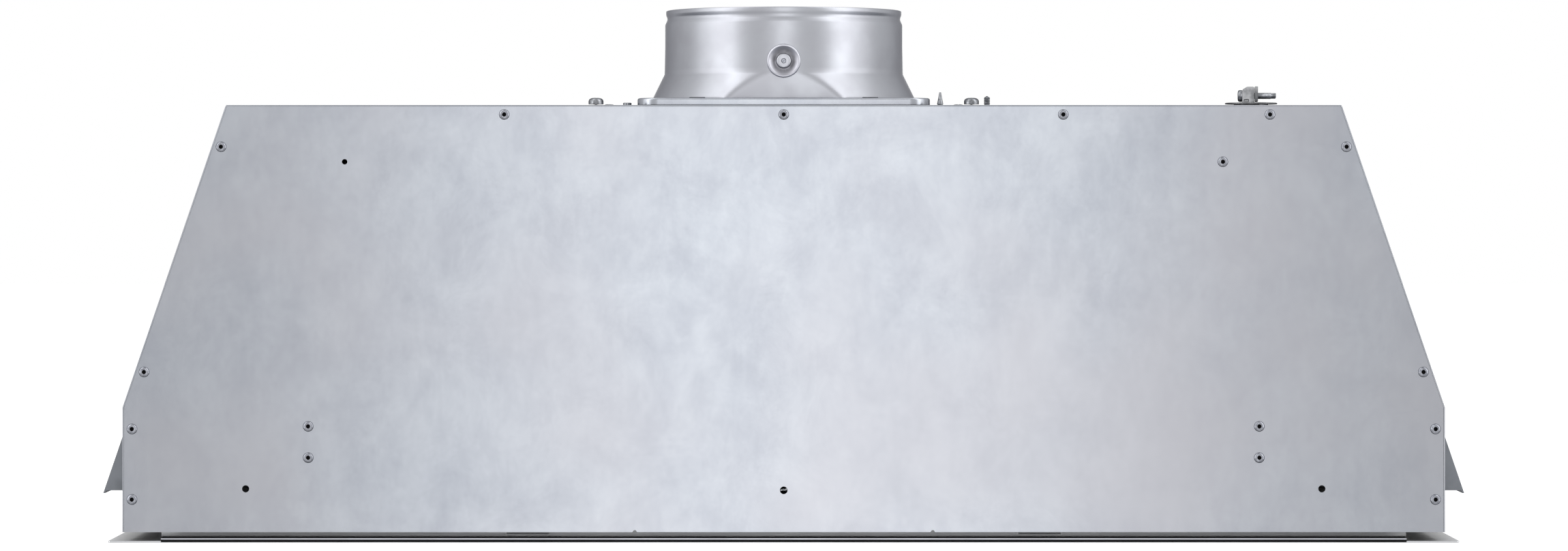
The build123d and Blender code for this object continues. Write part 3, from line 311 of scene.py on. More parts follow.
class Finish:
    def __init__(self, name, colour, metallic, roughness, **inputs):
        self.material = bpy.data.materials.new(name)
        self.material.use_nodes = True
        self.nodes = self.material.node_tree.nodes
        self.links = self.material.node_tree.links
        self.shader = self.nodes["Principled BSDF"]
        values = {"Base Color": colour, "Metallic": metallic, "Roughness": roughness, **inputs}
        for socket, value in values.items():
            self.shader.inputs[socket].default_value = value
        self.coords = self.nodes.new("ShaderNodeTexCoord")
        self.normal = None

    def add(self, kind, values):
        node = self.nodes.new("ShaderNode" + kind)
        for socket, value in values.items():
            node.inputs[socket].default_value = value
        return node

    def noise(self, scale, detail=3, stretch=(1, 1, 1), rough=0.5, warp=0.0):
        mapping = self.add("Mapping", {"Scale": stretch})
        pattern = {"Scale": scale, "Detail": detail, "Roughness": rough, "Distortion": warp}
        texture = self.add("TexNoise", pattern)
        self.links.new(self.coords.outputs["Object"], mapping.inputs["Vector"])
        self.links.new(mapping.outputs["Vector"], texture.inputs["Vector"])
        return texture.outputs["Fac"]

    def spread(self, value, low, high, start=0.35, end=0.65):
        limits = {"From Min": start, "From Max": end, "To Min": low, "To Max": high}
        ranger = self.add("MapRange", limits)
        ranger.interpolation_type = "SMOOTHSTEP"
        self.links.new(value, ranger.inputs["Value"])
        return ranger.outputs["Result"]

    def radius(self, centre, stretch):
        # how far a point is from a line through centre, for painted rings of light and shade
        shift = [-c * k for c, k in zip(centre, stretch)]
        mapping = self.add("Mapping", {"Location": shift, "Scale": stretch})
        length = self.add("VectorMath", {})
        length.operation = "LENGTH"
        self.links.new(self.coords.outputs["Object"], mapping.inputs["Vector"])
        self.links.new(mapping.outputs["Vector"], length.inputs[0])
        return length.outputs["Value"]

    def blend(self, value, first, second):
        mixer = self.nodes.new("ShaderNodeMix")
        mixer.data_type = "RGBA"
        for socket, colour in ((mixer.inputs[6], first), (mixer.inputs[7], second)):
            if isinstance(colour, tuple):
                socket.default_value = colour
            else:
                self.links.new(colour, socket)
        self.links.new(value, mixer.inputs[0])
        return mixer.outputs[2]

    def colour(self, output):
        self.links.new(output, self.shader.inputs["Base Color"])

    def roughness(self, output):
        self.links.new(output, self.shader.inputs["Roughness"])

    def bump(self, height, strength, depth):
        bumper = self.add("Bump", {"Strength": strength, "Distance": depth})
        self.links.new(height, bumper.inputs["Height"])
        if self.normal:
            self.links.new(self.normal, bumper.inputs["Normal"])
        self.normal = bumper.outputs["Normal"]
        self.links.new(self.normal, self.shader.inputs["Normal"])


# finishes, one for each material slot

def galvanisedSteel():
    # hot dipped sheet: pale cloudy bloom, faint upright rolling streaks, fine orange peel
    look = {
        "dull": rgb(143, 147, 155), "bright": rgb(165, 169, 175), "warm": rgb(158, 158, 163),
        "cloudScale": 22, "fineScale": 75, "tintScale": 6, "streakScale": 150,
        "rough": (0.262, 0.242), "edge": {"Specular Tint": (0.4, 0.4, 0.41, 1)},
        # orange peel: noise scale and detail, bump strength and depth in mm
        "peel": ((9, 1, 0.03, 1.0), (60, 2, 0.08, 0.2), (170, 2, 0.08, 0.1)),
    }
    finish = Finish("galvanisedSteel", look["dull"], 1.0, 0.25, **look["edge"])
    clouds = finish.noise(look["cloudScale"], 8, rough=0.68, warp=0.4)
    fine = finish.noise(look["fineScale"], 4, stretch=(1, 1, 0.6), rough=0.6)
    streaks = finish.noise(look["streakScale"], 3, stretch=(1, 1, 0.12))
    paint = finish.blend(finish.spread(clouds, 0, 1, 0.25, 0.75), look["dull"], look["bright"])
    speckled = finish.blend(finish.spread(fine, 0, 1, 0.15, 0.85), look["dull"], look["bright"])
    paint = finish.blend(finish.spread(streaks, 0.2, 0.7, 0.2, 0.8), paint, speckled)
    tints = finish.noise(look["tintScale"], 2)
    finish.colour(finish.blend(finish.spread(tints, 0, 0.8, 0.3, 0.8), paint, look["warm"]))
    finish.roughness(finish.spread(clouds, *look["rough"], 0.15, 0.85))
    for scale, detail, strength, depth in look["peel"]:
        finish.bump(finish.noise(scale, detail), strength, depth * mm)
    return finish.material


def collarSteel():
    look = {
        "dull": rgb(156, 157, 163), "bright": rgb(164, 166, 172),
        "edge": {"Specular Tint": (0.38, 0.38, 0.39, 1)},
    }
    finish = Finish("collarSteel", look["dull"], 1.0, 0.34, **look["edge"])
    clouds = finish.noise(30, 4, rough=0.5)
    grain = finish.noise(500, 3, stretch=(1, 1, 0.25))
    finish.colour(finish.blend(finish.spread(clouds, 0, 1), look["dull"], look["bright"]))
    finish.roughness(finish.spread(clouds, 0.37, 0.31))
    finish.bump(finish.noise(40, 1), 0.06, 0.2 * mm)
    finish.bump(grain, 0.04, 0.02 * mm)
    return finish.material


def stainlessSteel():
    # brushed along its length, with a few faint handling marks
    finish = Finish("stainlessSteel", rgb(184, 185, 187), 1.0, 0.3)
    lines = finish.noise(60, 4, stretch=(0.3, 26, 26), rough=0.6)
    marks = finish.noise(7, 3)
    dull, bright, handled = rgb(178, 179, 182), rgb(190, 191, 193), rgb(180, 180, 182)
    brushed = finish.blend(finish.spread(lines, 0, 1, 0.2, 0.8), dull, bright)
    finish.colour(finish.blend(finish.spread(marks, 0, 0.5, 0.3, 0.8), brushed, handled))
    finish.roughness(finish.spread(lines, 0.36, 0.26, 0.2, 0.8))
    finish.bump(lines, 0.06, 0.02 * mm)
    return finish.material


plainLooks = {
    # marks and grain are noise (scale, detail), height is bump (strength, depth in mm)
    "rivetSteel": {
        "metal": 1, "marks": (700, 3), "dark": (124, 126, 133), "pale": (144, 146, 153),
        "rough": (0.36, 0.22), "height": (0.1, 0.05),
        "inputs": {"Specular Tint": (0.06, 0.06, 0.07, 1)},
    },
    # painted shade: near-black for the rivets' holes, the collar's slots and the screw behind the
    # access hole
    "rivetEye": {
        "metal": 0, "marks": (900, 2), "dark": (3, 3, 4), "pale": (10, 10, 12),
        "rough": (0.9,), "inputs": {"Specular IOR Level": 0.1},
    },
    "zincSteel": {
        "metal": 1, "marks": (420, 4), "dark": (108, 110, 113), "pale": (142, 144, 148),
        "rough": (0.4, 0.24), "height": (0.12, 0.05),
        "inputs": {"Specular Tint": (0.3, 0.3, 0.31, 1)},
    },
    "springSteel": {
        "metal": 1, "marks": (40, 4, (1, 0.15, 1)), "dark": (98, 101, 105), "pale": (112, 115, 120),
        "rough": (0.48, 0.36), "height": (0.08, 0.05),
    },
    "clampZinc": {  # die cast: grainy and cloudy
        "metal": 1, "marks": (120, 3), "dark": (108, 109, 111), "pale": (146, 147, 149),
        "rough": (0.55, 0.38), "grain": (900, 4), "height": (0.35, 0.08),
        "inputs": {"Specular Tint": (0.4, 0.4, 0.4, 1)},
    },
    "wheelSteel": {
        "metal": 1, "marks": (60, 4), "dark": (148, 151, 156), "pale": (172, 175, 181),
        "rough": (0.45, 0.32), "grain": (500, 3), "height": (0.08, 0.04),
    },
    "motorPaint": {
        "metal": 0, "marks": (30, 3), "dark": (46, 48, 52), "pale": (60, 62, 67),
        "rough": (0.5, 0.4), "grain": (900, 3), "height": (0.2, 0.05),
    },
    "bearingBronze": {
        "metal": 1, "marks": (1200, 3), "dark": (150, 112, 64), "pale": (182, 142, 88),
        "rough": (0.4,), "height": (0.15, 0.04),
    },
    "sealFoam": {
        "metal": 0, "marks": (1600, 3), "dark": (8, 8, 9), "pale": (20, 20, 22),
        "rough": (0.9,), "height": (0.5, 0.15), "inputs": {"Specular IOR Level": 0.15},
    },
    "blackPlastic": {
        "metal": 0, "marks": (60, 3), "dark": (28, 29, 31), "pale": (38, 39, 42),
        "rough": (0.48, 0.36), "grain": (1800, 2), "height": (0.15, 0.04), "glossFrom": "grain",
    },
    "capacitorCase": {
        "metal": 0, "marks": (60, 3), "dark": (188, 189, 190), "pale": (204, 205, 206),
        "rough": (0.4,), "grain": (900, 2), "height": (0.06, 0.03),
    },
    "circuitBoard": {
        "metal": 0, "marks": (260, 2), "dark": (30, 80, 48), "pale": (48, 104, 66),
        "rough": (0.35,), "height": (0.1, 0.05),
    },
    "lampMetal": {
        "metal": 1, "marks": (90, 3), "dark": (188, 189, 192), "pale": (206, 207, 211),
        "rough": (0.3, 0.2), "grain": (1100, 2), "height": (0.05, 0.02),
    },
    "coolingBlack": {  # painted shade: the lamps' finned bodies are painted near-black
        "metal": 0, "marks": (50, 3), "dark": (30, 31, 33), "pale": (46, 47, 50),
        "rough": (0.62, 0.48), "grain": (900, 3), "height": (0.12, 0.04), "glossFrom": "grain",
    },
    "frostedLens": {
        "metal": 0, "marks": (700, 3), "dark": (228, 231, 234), "pale": (242, 244, 246),
        "rough": (0.5, 0.34), "height": (0.2, 0.08),
        "inputs": {"Transmission Weight": 0.2, "IOR": 1.46},
    },
}


def plainFinish(name):
    # two close colours in one noise pattern, with a grain that breaks up the gloss
    look = plainLooks[name]
    dark, pale = rgb(*look["dark"]), rgb(*look["pale"])
    finish = Finish(name, dark, look["metal"], look["rough"][0], **look.get("inputs", {}))
    patterns = {"marks": finish.noise(*look["marks"])}
    patterns["grain"] = finish.noise(*look["grain"]) if "grain" in look else patterns["marks"]
    finish.colour(finish.blend(finish.spread(patterns["marks"], 0, 1), dark, pale))
    if len(look["rough"]) == 2:
        finish.roughness(finish.spread(patterns[look.get("glossFrom", "marks")], *look["rough"]))
    if "height" in look:
        strength, depth = look["height"]
        finish.bump(patterns["grain"], strength, depth * mm)
    return finish.material


def bushSteel():
    # pressed zinc, painted in rings about the spindle: painted shade in the dish round the hub,
    # painted highlights on the hub and the rim
    look = {
        "bright": rgb(158, 158, 165), "rim": rgb(186, 187, 194), "hub": rgb(168, 169, 175),
        "grease": rgb(98, 98, 103), "edge": {"Specular Tint": (0.4, 0.4, 0.41, 1)},
    }
    finish = Finish("bushSteel", look["bright"], 1.0, 0.36, **look["edge"])
    out = finish.radius((0, 0, spindleHeight * mm), (1, 0, 1))
    paint = look["hub"]
    for colour, start, end in (("grease", 4.4, 4.8), ("bright", 5.6, 9.2), ("rim", 9.2, 9.5)):
        # from the hub outwards, radii in mm
        paint = finish.blend(finish.spread(out, 0, 1, start * mm, end * mm), paint, look[colour])
    marks = finish.noise(300, 3)
    finish.colour(finish.blend(finish.spread(marks, 0, 0.25), paint, look["bright"]))
    finish.roughness(finish.spread(marks, 0.4, 0.32))
    finish.bump(finish.noise(900, 2), 0.05, 0.03 * mm)
    return finish.material


finishes = {
    "galvanised_steel": galvanisedSteel(), "collar_steel": collarSteel(),
    "stainless_steel": stainlessSteel(), "bush_steel": bushSteel(),
}
slots = {part["node"]: part["material_slot"] for part in frame["record"]["subparts"]}
for node, slot in slots.items():
    if slot not in finishes:
        finishes[slot] = plainFinish(ownName(slot))
    for holder in frame["nodes"][node].material_slots:
        holder.material = finishes[slot]
paintedShadeFinish = plainFinish("rivetEye")
lampBodyShade = plainFinish("coolingBlack")
print("finishes made:", len(finishes))


# housing sizes in mm that the pieces below share, both faces read from the frame

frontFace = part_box("front_panel")[0].y / mm
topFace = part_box("top_panel")[1].z / mm
panelBend = {"height": 81.5, "halfWidth": 401.5, "halfTop": 338.75, "top": 265.1}


def sideAt(height):
    # half the housing's width at a height
    rise = max(0, height - panelBend["height"]) / (panelBend["top"] - panelBend["height"])
    return panelBend["halfWidth"] + (panelBend["halfTop"] - panelBend["halfWidth"]) * rise


# blind rivets

rivet = {
    "radius": 3.2, "height": 1.1, "eye": 1.25, "eyeDepth": 0.85, "inset": 5.8,
    "topRow": 259.3, "topColumns": (-169.7, 0, 169.7, 295.2),
    "sideRows": (239.7, 103.0, 68.4, 25.6),
    "single": (266.6, 230.6),
    "strapColumn": 288.7, "strapRows": (70.0, 51.0),
}


def rivetSpots():
    spots = [(x, rivet["topRow"]) for x in rivet["topColumns"]]
    spots.append(rivet["single"])
    for side in (-1, 1):
        spots += [(side * (sideAt(z) - rivet["inset"]), z) for z in rivet["sideRows"]]
        spots += [(side * rivet["strapColumn"], z) for z in rivet["strapRows"]]
    return spots


def blindRivets():
    size, top, eye, depth = picked(rivet, "radius height eye eyeDepth")
    floor = top - depth
    outline = [(0, floor), (eye * 0.7, floor + 0.05), (eye, floor + 0.2), (eye, top - 0.12)]
    outline += [(eye + 0.12, top), (eye + 0.45, top)]
    outline += [(size * 0.68, top * 0.93), (size * 0.84, top * 0.7), (size * 0.95, top * 0.38)]
    outline += [(size, 0.12), (size, 0), (0, 0)]
    head = turned("rivetHead", outline, 40)
    smooth(head, 50)
    place(head, turn=(90, 0, 0))
    spots = rivetSpots()
    places = [((x, frontFace, z),) for x, z in spots]
    places += [((x, -frontFace, z), (0, 0, 180)) for x, z in spots]
    whole = joined(scattered(head, places), "blindRivets")
    dress(whole, "rivet_steel", "housing", "panel_rivets")

    def insideEye(x, y, z):
        off = min(math.hypot(x - a, z - b) for a, b in spots)
        return off < eye + 0.02 and abs(y) > 0.1 - frontFace

    recoat(whole, paintedShadeFinish, insideEye)  # painted shade: the mandrel's hole is painted near-black


blindRivets()
print("blind rivets made:", 2 * len(rivetSpots()))


# screws on the top panel

topScrew = {
    "x": 115.3, "y": 98.0, "radius": 4.6, "height": 4.0, "turns": (18, 64, 37, 81),
    "shaft": 2.0, "low": -7.6, "pitch": 0.8,
}


def crossCutter(depth, reach, width, top):
    # the cross recess that a driver fits
    arms = []
    for turn in (0, 90):
        arm = bar("arm", (-reach / 2, -width / 2, top - depth), (reach / 2, width / 2, top + 1))
        arms.append(place(arm, turn=(0, 0, turn)))
    cone = [(0, top - depth * 1.3), (width * 0.9, top - depth)]
    cone += [(width * 1.2, top + 1), (0, top + 1)]
    return arms + [turned("centre", cone, 16)]


def screwHead(name, radius, height, steps=48):
    outline = [(0, 0), (radius - 0.15, 0), (radius, 0.15), (radius, height * 0.42)]
    outline += [
        (radius * math.cos(turn) ** 0.6, height * (0.42 + 0.58 * math.sin(turn)))
        for turn in [math.radians(10 * i) for i in range(1, 9)]
    ]
    outline.append((0, height))
    head = turned(name, outline, steps)
    for cutter in crossCutter(height * 0.45, radius * 1.15, radius * 0.24, height):
        cutAway(head, cutter)
    return smooth(head, 40)


def topScrews():
    head = screwHead("topScrewHead", topScrew["radius"], topScrew["height"])
    thread = threadOutline(topScrew["shaft"], topScrew["low"], -0.1, topScrew["pitch"])
    spots = [(sx * topScrew["x"], sy * topScrew["y"], topFace) for sx in (-1, 1) for sy in (-1, 1)]
    turns = [(0, 0, turn) for turn in topScrew["turns"]]
    pieces = scattered(head, zip(spots, turns))
    pieces += [place(turned("shank", thread, 24), spot) for spot in spots]
    whole = joined(pieces, "topPanelScrews")
    dress(whole, "zinc_steel", "housing", "top_screws")


def threadOutline(radius, low, high, pitch, tip=0.0):
    # the side view of a screw's thread, closed at both ends, with a point if it has one
    outline = [(0, low), (radius * 0.8, low)]
    count = int((high - tip - low) / pitch)
    for i in range(count):
        z = low + i * pitch
        outline += [(radius * 0.8, z + pitch * 0.15), (radius, z + pitch * 0.5)]
        outline.append((radius * 0.8, z + pitch * 0.85))
    top = low + count * pitch
    outline.append((radius * 0.8, top))
    if tip:
        outline += [(radius * 0.98, top + 0.1), (radius * 0.66, top + tip * 0.5)]
        outline.append((radius * 0.3, high - 0.1))
    outline.append((0, high))
    return outline


innerScrew = {
    "y": -73.0, "radius": 2.0, "low": -4.0, "pitch": 1.1, "headRadius": 4.0, "headHeight": 2.4,
    "pointed": (97.0, 8.0), "blunt": (126.0, 5.7), "short": (-97.0, 1.6),  # x, height
    "shortRadius": 2.6, "pointLength": 6.6, "sheet": 1.6,
}


def innerScrews():
    pieces = []
    radius, low, pitch, y = picked(innerScrew, "radius low pitch y")
    for name, tip in (("pointed", innerScrew["pointLength"]), ("blunt", 0), ("short", 0)):
        x, height = innerScrew[name]
        screw = turned(name, threadOutline(radius, low, height, pitch, tip), 32)
        pieces.append(place(screw, (x, y, topFace)))
        head = screwHead(name + "Head", innerScrew["headRadius"], innerScrew["headHeight"])
        pieces.append(place(head, (x, y, topFace - innerScrew["sheet"]), (180, 0, 0)))
    wide = innerScrew["shortRadius"]
    x, height = innerScrew["short"]
    cap = [(0, 0), (wide, 0), (wide, height - 0.4), (wide - 0.3, height - 0.1), (0, height)]
    pieces.append(place(turned("shortCap", cap, 32), (x, y, topFace)))
    whole = smooth(joined(pieces, "innerScrewEnds"), 40)
    dress(whole, "zinc_steel", "housing", "inner_screws")


topScrews()
innerScrews()
print("top screws made")


# duct collar: a drawn sleeve with a flat-fronted cone on a raised base

collar = {
    "sleeve": 75.5, "shoulder": 75.9, "seat": 304.5, "coneTop": 286.9,
    "footZ": 269.3, "top": 327.2, "groove": 74.15, "rim": 74.9, "wall": 0.7, "flat": 75.8,
    "boreFlat": 75.2, "softness": 1.5, "base": 181.0, "corner": 13.0, "baseHeight": 4.2, "bore": 81,
    "slotX": 53.4, "slotLength": 11.8, "slotWidth": 1.2, "slotInset": 7.0, "steps": 256,
    "stopX": 72.8, "stopHalf": 2.1, "stopZ": (290.4, 291.4), "plateStart": 88.5,
}


def sleeveOutline():
    outline = [(88.0, collar["footZ"] + 0.02)]
    outline += arc(87.0, collar["footZ"] + 4.0, 4.0, 268, 200, 6)
    footRadius, footHeight = outline[-1]
    shoulder, coneTop, top = collar["shoulder"], collar["coneTop"], collar["top"]
    for i in range(1, 13):
        share = i / 12
        radius = footRadius + (shoulder - footRadius) * share
        outline.append((radius, footHeight + (coneTop - footHeight) * share))
    sleeve, groove, rim = collar["sleeve"], collar["groove"], collar["rim"]
    outline += [(shoulder - 0.12, coneTop + 3), (sleeve, collar["seat"])]
    outline += [(sleeve, 311), (sleeve, top - 9.4), (sleeve - 0.1, top - 8.6)]
    outline += [(groove + 0.35, top - 6.6), (groove, top - 5.6), (groove, top - 4.8)]
    outline += [(groove + 0.2, top - 4.0), (rim - 0.1, top - 2.8), (rim, top - 2.0)]
    outline += [(rim, top - 0.5), (rim - 0.15, top - 0.12), (rim - 0.4, top)]
    return outline


def softLimit(value, limit, softness):
    # rounds off where the cone is flattened
    share = min(1, max(0, 0.5 + 0.5 * (limit - value) / softness))
    return limit * (1 - share) + value * share - softness * share * (1 - share)


def sleeve():
    skin = turned("sleeve", sleeveOutline(), collar["steps"])
    for vertex in skin.data.vertices:
        if vertex.co.z < (collar["coneTop"] + 3.5) * mm:
            depth = abs(vertex.co.y) / mm
            proud = math.hypot(vertex.co.x, vertex.co.y) / mm - collar["flat"]
            softness = min(collar["softness"], max(0.3, 0.9 * proud))
            pressed = softLimit(depth, collar["flat"], softness)
            vertex.co.y = math.copysign(pressed * mm, vertex.co.y)
    return smooth(applied(skin, "SOLIDIFY", thickness=collar["wall"] * mm, offset=-1), 50)


def collarBase():
    deselectAll()
    size = collar["base"]
    bpy.ops.mesh.primitive_plane_add(size=size * mm, location=(0, 0, topFace * mm))
    plate = bpy.context.object
    bpy.ops.object.transform_apply(location=True)
    bpy.ops.object.mode_set(mode="EDIT")
    bpy.ops.mesh.select_all(action="SELECT")
    bpy.ops.mesh.bevel(offset=collar["corner"] * mm, segments=12, affect="VERTICES")
    rise = {"value": (0, 0, collar["baseHeight"] * mm)}
    bpy.ops.mesh.extrude_region_move(TRANSFORM_OT_translate=rise)
    bpy.ops.mesh.bevel(offset=1.3 * mm, segments=4, affect="EDGES")
    faceOut()
    low, high, wide, flat = topFace - 2, topFace + 8, collar["bore"], collar["boreFlat"] * mm
    bore = turned("bore", [(0, low), (wide, low), (wide, high), (0, high)], 128)
    for vertex in bore.data.vertices:
        vertex.co.y = max(-flat, min(flat, vertex.co.y))
    cutAway(plate, bore)
    slotShadeBars = []
    base = topFace + collar["baseHeight"]
    long, wide = collar["slotLength"] / 2, collar["slotWidth"] / 2
    for sx in (-1, 1):
        for sy in (-1, 1):
            x, y = sx * collar["slotX"], sy * (size / 2 - collar["slotInset"])
            low, high = (x - long, y - wide, topFace + 1), (x + long, y + wide, topFace + 6)
            cutAway(plate, bar("slot", low, high))
            # painted shade: a thin bar at each slot's far edge, coloured near-black further down
            low = (x - long + 1, y - wide, base - 0.2)
            high = (x + long - 1, y + wide * 0.4, base + 0.5)
            slotShadeBars.append(bar("slotLip", low, high, 0.2, 2))
    return [smooth(plate, 30)] + slotShadeBars


def ductCollar():
    half, (low, high) = collar["stopHalf"], collar["stopZ"]
    stops = [
        bar("stop", (x - half, -6, low), (x + half, 6, high), 0.3)
        for x in (-collar["stopX"], collar["stopX"])
    ]
    whole = joined([sleeve()] + collarBase() + stops, "ductCollar")
    dress(whole, "collar_steel", "housing", "duct_collar")
    base = topFace + collar["baseHeight"] + 0.01

    def onPlate(x, y, z):
        return math.hypot(x, y) > collar["plateStart"]

    recoat(whole, finishes["galvanised_steel"], onPlate)
    recoat(whole, paintedShadeFinish, lambda x, y, z: onPlate(x, y, z) and z >= base)  # painted shade: the bars in the slots are painted near-black


ductCollar()
print("duct collar made")


# bushes that carry the damper's spindle

bush = {
    "radius": 10.4, "front": 77.4, "face": 1.6, "back": -1.2, "hub": 4.5, "eye": 1.45, "dish": 1.4,
}


def spindleBushes():
    face, eye, hub, rim = picked(bush, "face eye hub radius")
    floor = face - bush["dish"]
    outline = [(0, face - 0.9), (eye - 0.1, face - 0.9), (eye, face - 0.3), (eye + 0.1, face + 0.1)]
    outline += [(hub - 0.9, face + 0.15), (hub - 0.3, face), (hub, face - 0.4)]
    outline += [(hub + 0.25, floor), (hub + 1.2, floor - 0.1)]
    outline += [(rim - 3.2, face - 0.85), (rim - 1.5, face - 0.25), (rim - 1.2, face)]
    outline += [(rim - 0.8, face + 0.05), (rim - 0.3, face - 0.15), (rim, face - 0.6)]
    outline += [(rim, bush["back"]), (0, bush["back"])]
    spot = (0, face - bush["front"], spindleHeight)
    front = lathe("bush", outline, 96, 60, spot, (90, 0, 0))
    rear = another(front, "rearBush", turn=(0, 0, 180))
    whole = joined([front, rear], "spindleBushes")
    dress(whole, "bush_steel", "housing", "spindle_bushes")


spindleBushes()
print("bushes made")


# folded sheets: cut edges softened, and the front's top edge rolled back

sheets = {
    "roll": ((263.2, 0.0), (264.2, 0.2), (264.8, 0.45), (265.1, 0.68)),  # height, set back
    "edge": 0.16,
    "plain": (
        "right_side_panel", "left_side_panel", "top_panel", "base_tray", "control_box",
        "wiring_box", "wiring_cover", "blower_carrier", "control_bezel", "led_driver",
        "tray_straps",
    ),
}


def rolledPanel(node, side):
    panel = sheetCopy(node, ownName(node))
    makeActive(panel)
    bpy.ops.object.mode_set(mode="EDIT")
    for height, _ in sheets["roll"][:-1]:
        bpy.ops.mesh.select_all(action="SELECT")
        bpy.ops.mesh.bisect(plane_co=(0, 0, height * mm), plane_no=(0, 0, 1))
    bpy.ops.object.mode_set(mode="OBJECT")
    for vertex in panel.data.vertices:
        if abs(vertex.co.y) / mm > -frontFace - 0.1:
            for height, setBack in sheets["roll"]:
                if abs(vertex.co.z / mm - height) < 0.02:
                    vertex.co.y -= side * setBack * mm
    softEdges(panel, sheets["edge"], 50)
    smoothFlats(panel)
    dress(panel, "galvanised_steel", "housing", node)


def plainSheets():
    for node in sheets["plain"]:
        piece = sheetCopy(node, ownName(node))
        softEdges(piece, sheets["edge"], 50)
        smoothFlats(piece)
        dress(piece, slots[node], "housing", node)


rolledPanel("front_panel", -1)
rolledPanel("rear_panel", 1)
plainSheets()
print("sheets finished:", 2 + len(sheets["plain"]))


# foam seal: a strip on the flange, turned down over its front edge

seal = {
    "halfWidth": 377, "outer": 136.0, "edge": 135.6, "inner": 126.3, "low": 0.35, "foot": 1.1,
    "lip": 1.95, "bead": 2.7, "top": 3.0, "back": 134.9,
}


def flangeSeal():
    outer, inner, back, edge = (-size for size in picked(seal, "outer inner back edge"))
    low, foot, lip, bead, top = picked(seal, "low foot lip bead top")
    outline = [(outer, low), (outer, lip), (outer + 0.1, lip + 0.08), (outer + 0.25, bead)]
    outline += [(back, bead), (back, top - 0.3), (back + 0.3, top), (inner - 0.3, top)]
    outline += [(inner, top - 0.3), (inner, foot), (edge, foot), (edge, low)]
    strip = drawn("sealStrip", outline, -seal["halfWidth"], seal["halfWidth"], "x")
    rear = mirrored(strip, "rearSealStrip", "y")
    whole = smooth(joined([strip, rear], "flangeSeal"), 30)
    dress(whole, "seal_foam", "housing", "flange_seal")

    def onBead(x, y, z):
        return lip < z < bead + 0.01 and abs(y) > seal["back"] + 0.3

    recoat(whole, finishes["collar_steel"], onBead)  # painted highlight: the strip's bead is coated in the bright collar steel


flangeSeal()
print("seal made")


# cable clamp: a cast ring and saddle, a loose jaw and two slotted screws

clamp = {
    "x": 287.0, "y": -98.0, "bore": 8.0, "hub": 10.95, "low": 256.35, "turns": 5, "pitch": 1.5,
    "ring": 16.0, "ringTop": 0.95, "ringHeight": 1.5, "turn": -6.1, "shift": 1.4,
    "saddle": (280.2, 287.7), "halfLength": 13.0, "height": 9.0, "pocket": 6.2,
    "jaw": 1.9, "play": 0.2, "screwRise": 5.1, "screwPitch": 20.0, "shaft": 1.75, "tipShaft": 1.5,
    "head": (3.4, 2.8), "end": 300.7, "plainTip": 3.0, "plainNeck": 7.0, "threadPitch": 0.8,
}


def turnOnRing(piece):
    # the saddle and what it holds sit a little turned on the ring
    place(piece, at=(-clamp["x"], -clamp["y"], 0))
    return place(piece, at=(clamp["x"] + clamp["shift"], clamp["y"], 0), turn=(0, 0, clamp["turn"]))


def clampBody():
    top = topFace + clamp["ringTop"]
    bore, hub, rim = picked(clamp, "bore hub ring")
    outline = [(bore, clamp["low"])]
    for i in range(clamp["turns"]):
        z = clamp["low"] + 0.3 + i * clamp["pitch"]
        outline += [(hub - 0.5, z), (hub, z + 0.55), (hub, z + 0.8), (hub - 0.5, z + 1.35)]
    outline += [(hub - 0.5, topFace), (rim - 0.3, topFace), (rim, topFace + 0.25)]
    outline += [(rim, top - 0.3), (rim - 0.6, top), (bore + 0.4, top), (bore, top - 0.4)]
    outline.append(outline[0])
    ring = place(turned("clampRing", outline, 72), at=(clamp["x"], clamp["y"], 0))
    left, right = clamp["saddle"]
    roof = topFace + clamp["ringHeight"] + clamp["height"]
    side = [(left, top - 0.2), (left, roof - 2.3), (left + 0.5, roof - 1.5)]
    side += [(left + 2.4, roof - 0.3), (left + 3.2, roof), (right - 0.9, roof)]
    side += [(right, roof - 0.5), (right, top - 0.2)]
    low, high = clamp["y"] - clamp["halfLength"], clamp["y"] + clamp["halfLength"]
    saddle = drawn("saddle", side, low, high)
    wide, floor = clamp["pocket"], top + 0.05
    pocket = turned("pocket", [(0, floor), (wide, floor), (wide, roof + 1), (0, roof + 1)], 48)
    cutAway(saddle, place(pocket, at=(right, clamp["y"], 0)))
    for y in (low, high):
        notch = (left + 1.1, y - 1.6, top + 0.3), (left + 4.0, y + 1.6, top + 1.8)
        cutAway(saddle, bar("notch", *notch, 0.4))
    softEdges(saddle, 0.3)
    whole = smoothFlats(joined([ring, turnOnRing(saddle)], "cableClamp"), 40)
    dress(whole, "clamp_zinc", "housing", "cable_clamp")


def clampJaw():
    left = clamp["saddle"][1] + clamp["play"]
    low = topFace + clamp["ringHeight"] + clamp["play"]
    front, back = clamp["y"] - clamp["halfLength"], clamp["y"] + clamp["halfLength"]
    corner = (left + clamp["jaw"], back, low + clamp["height"])
    jaw = bar("clampJaw", (left, front, low), corner, 0.3, 2)
    wide = clamp["shaft"] + 0.1
    for side in (-1, 1):
        hole = turned("hole", [(0, -3), (wide, -3), (wide, 3), (0, 3)], 24)
        y, z = clamp["y"] + side * clamp["screwPitch"] / 2, topFace + clamp["screwRise"]
        cutAway(jaw, place(hole, at=(left + 1, y, z), turn=(0, 90, 0)))
    smooth(turnOnRing(jaw), 30)
    dress(jaw, "clamp_zinc", "housing", "cable_clamp_jaw")


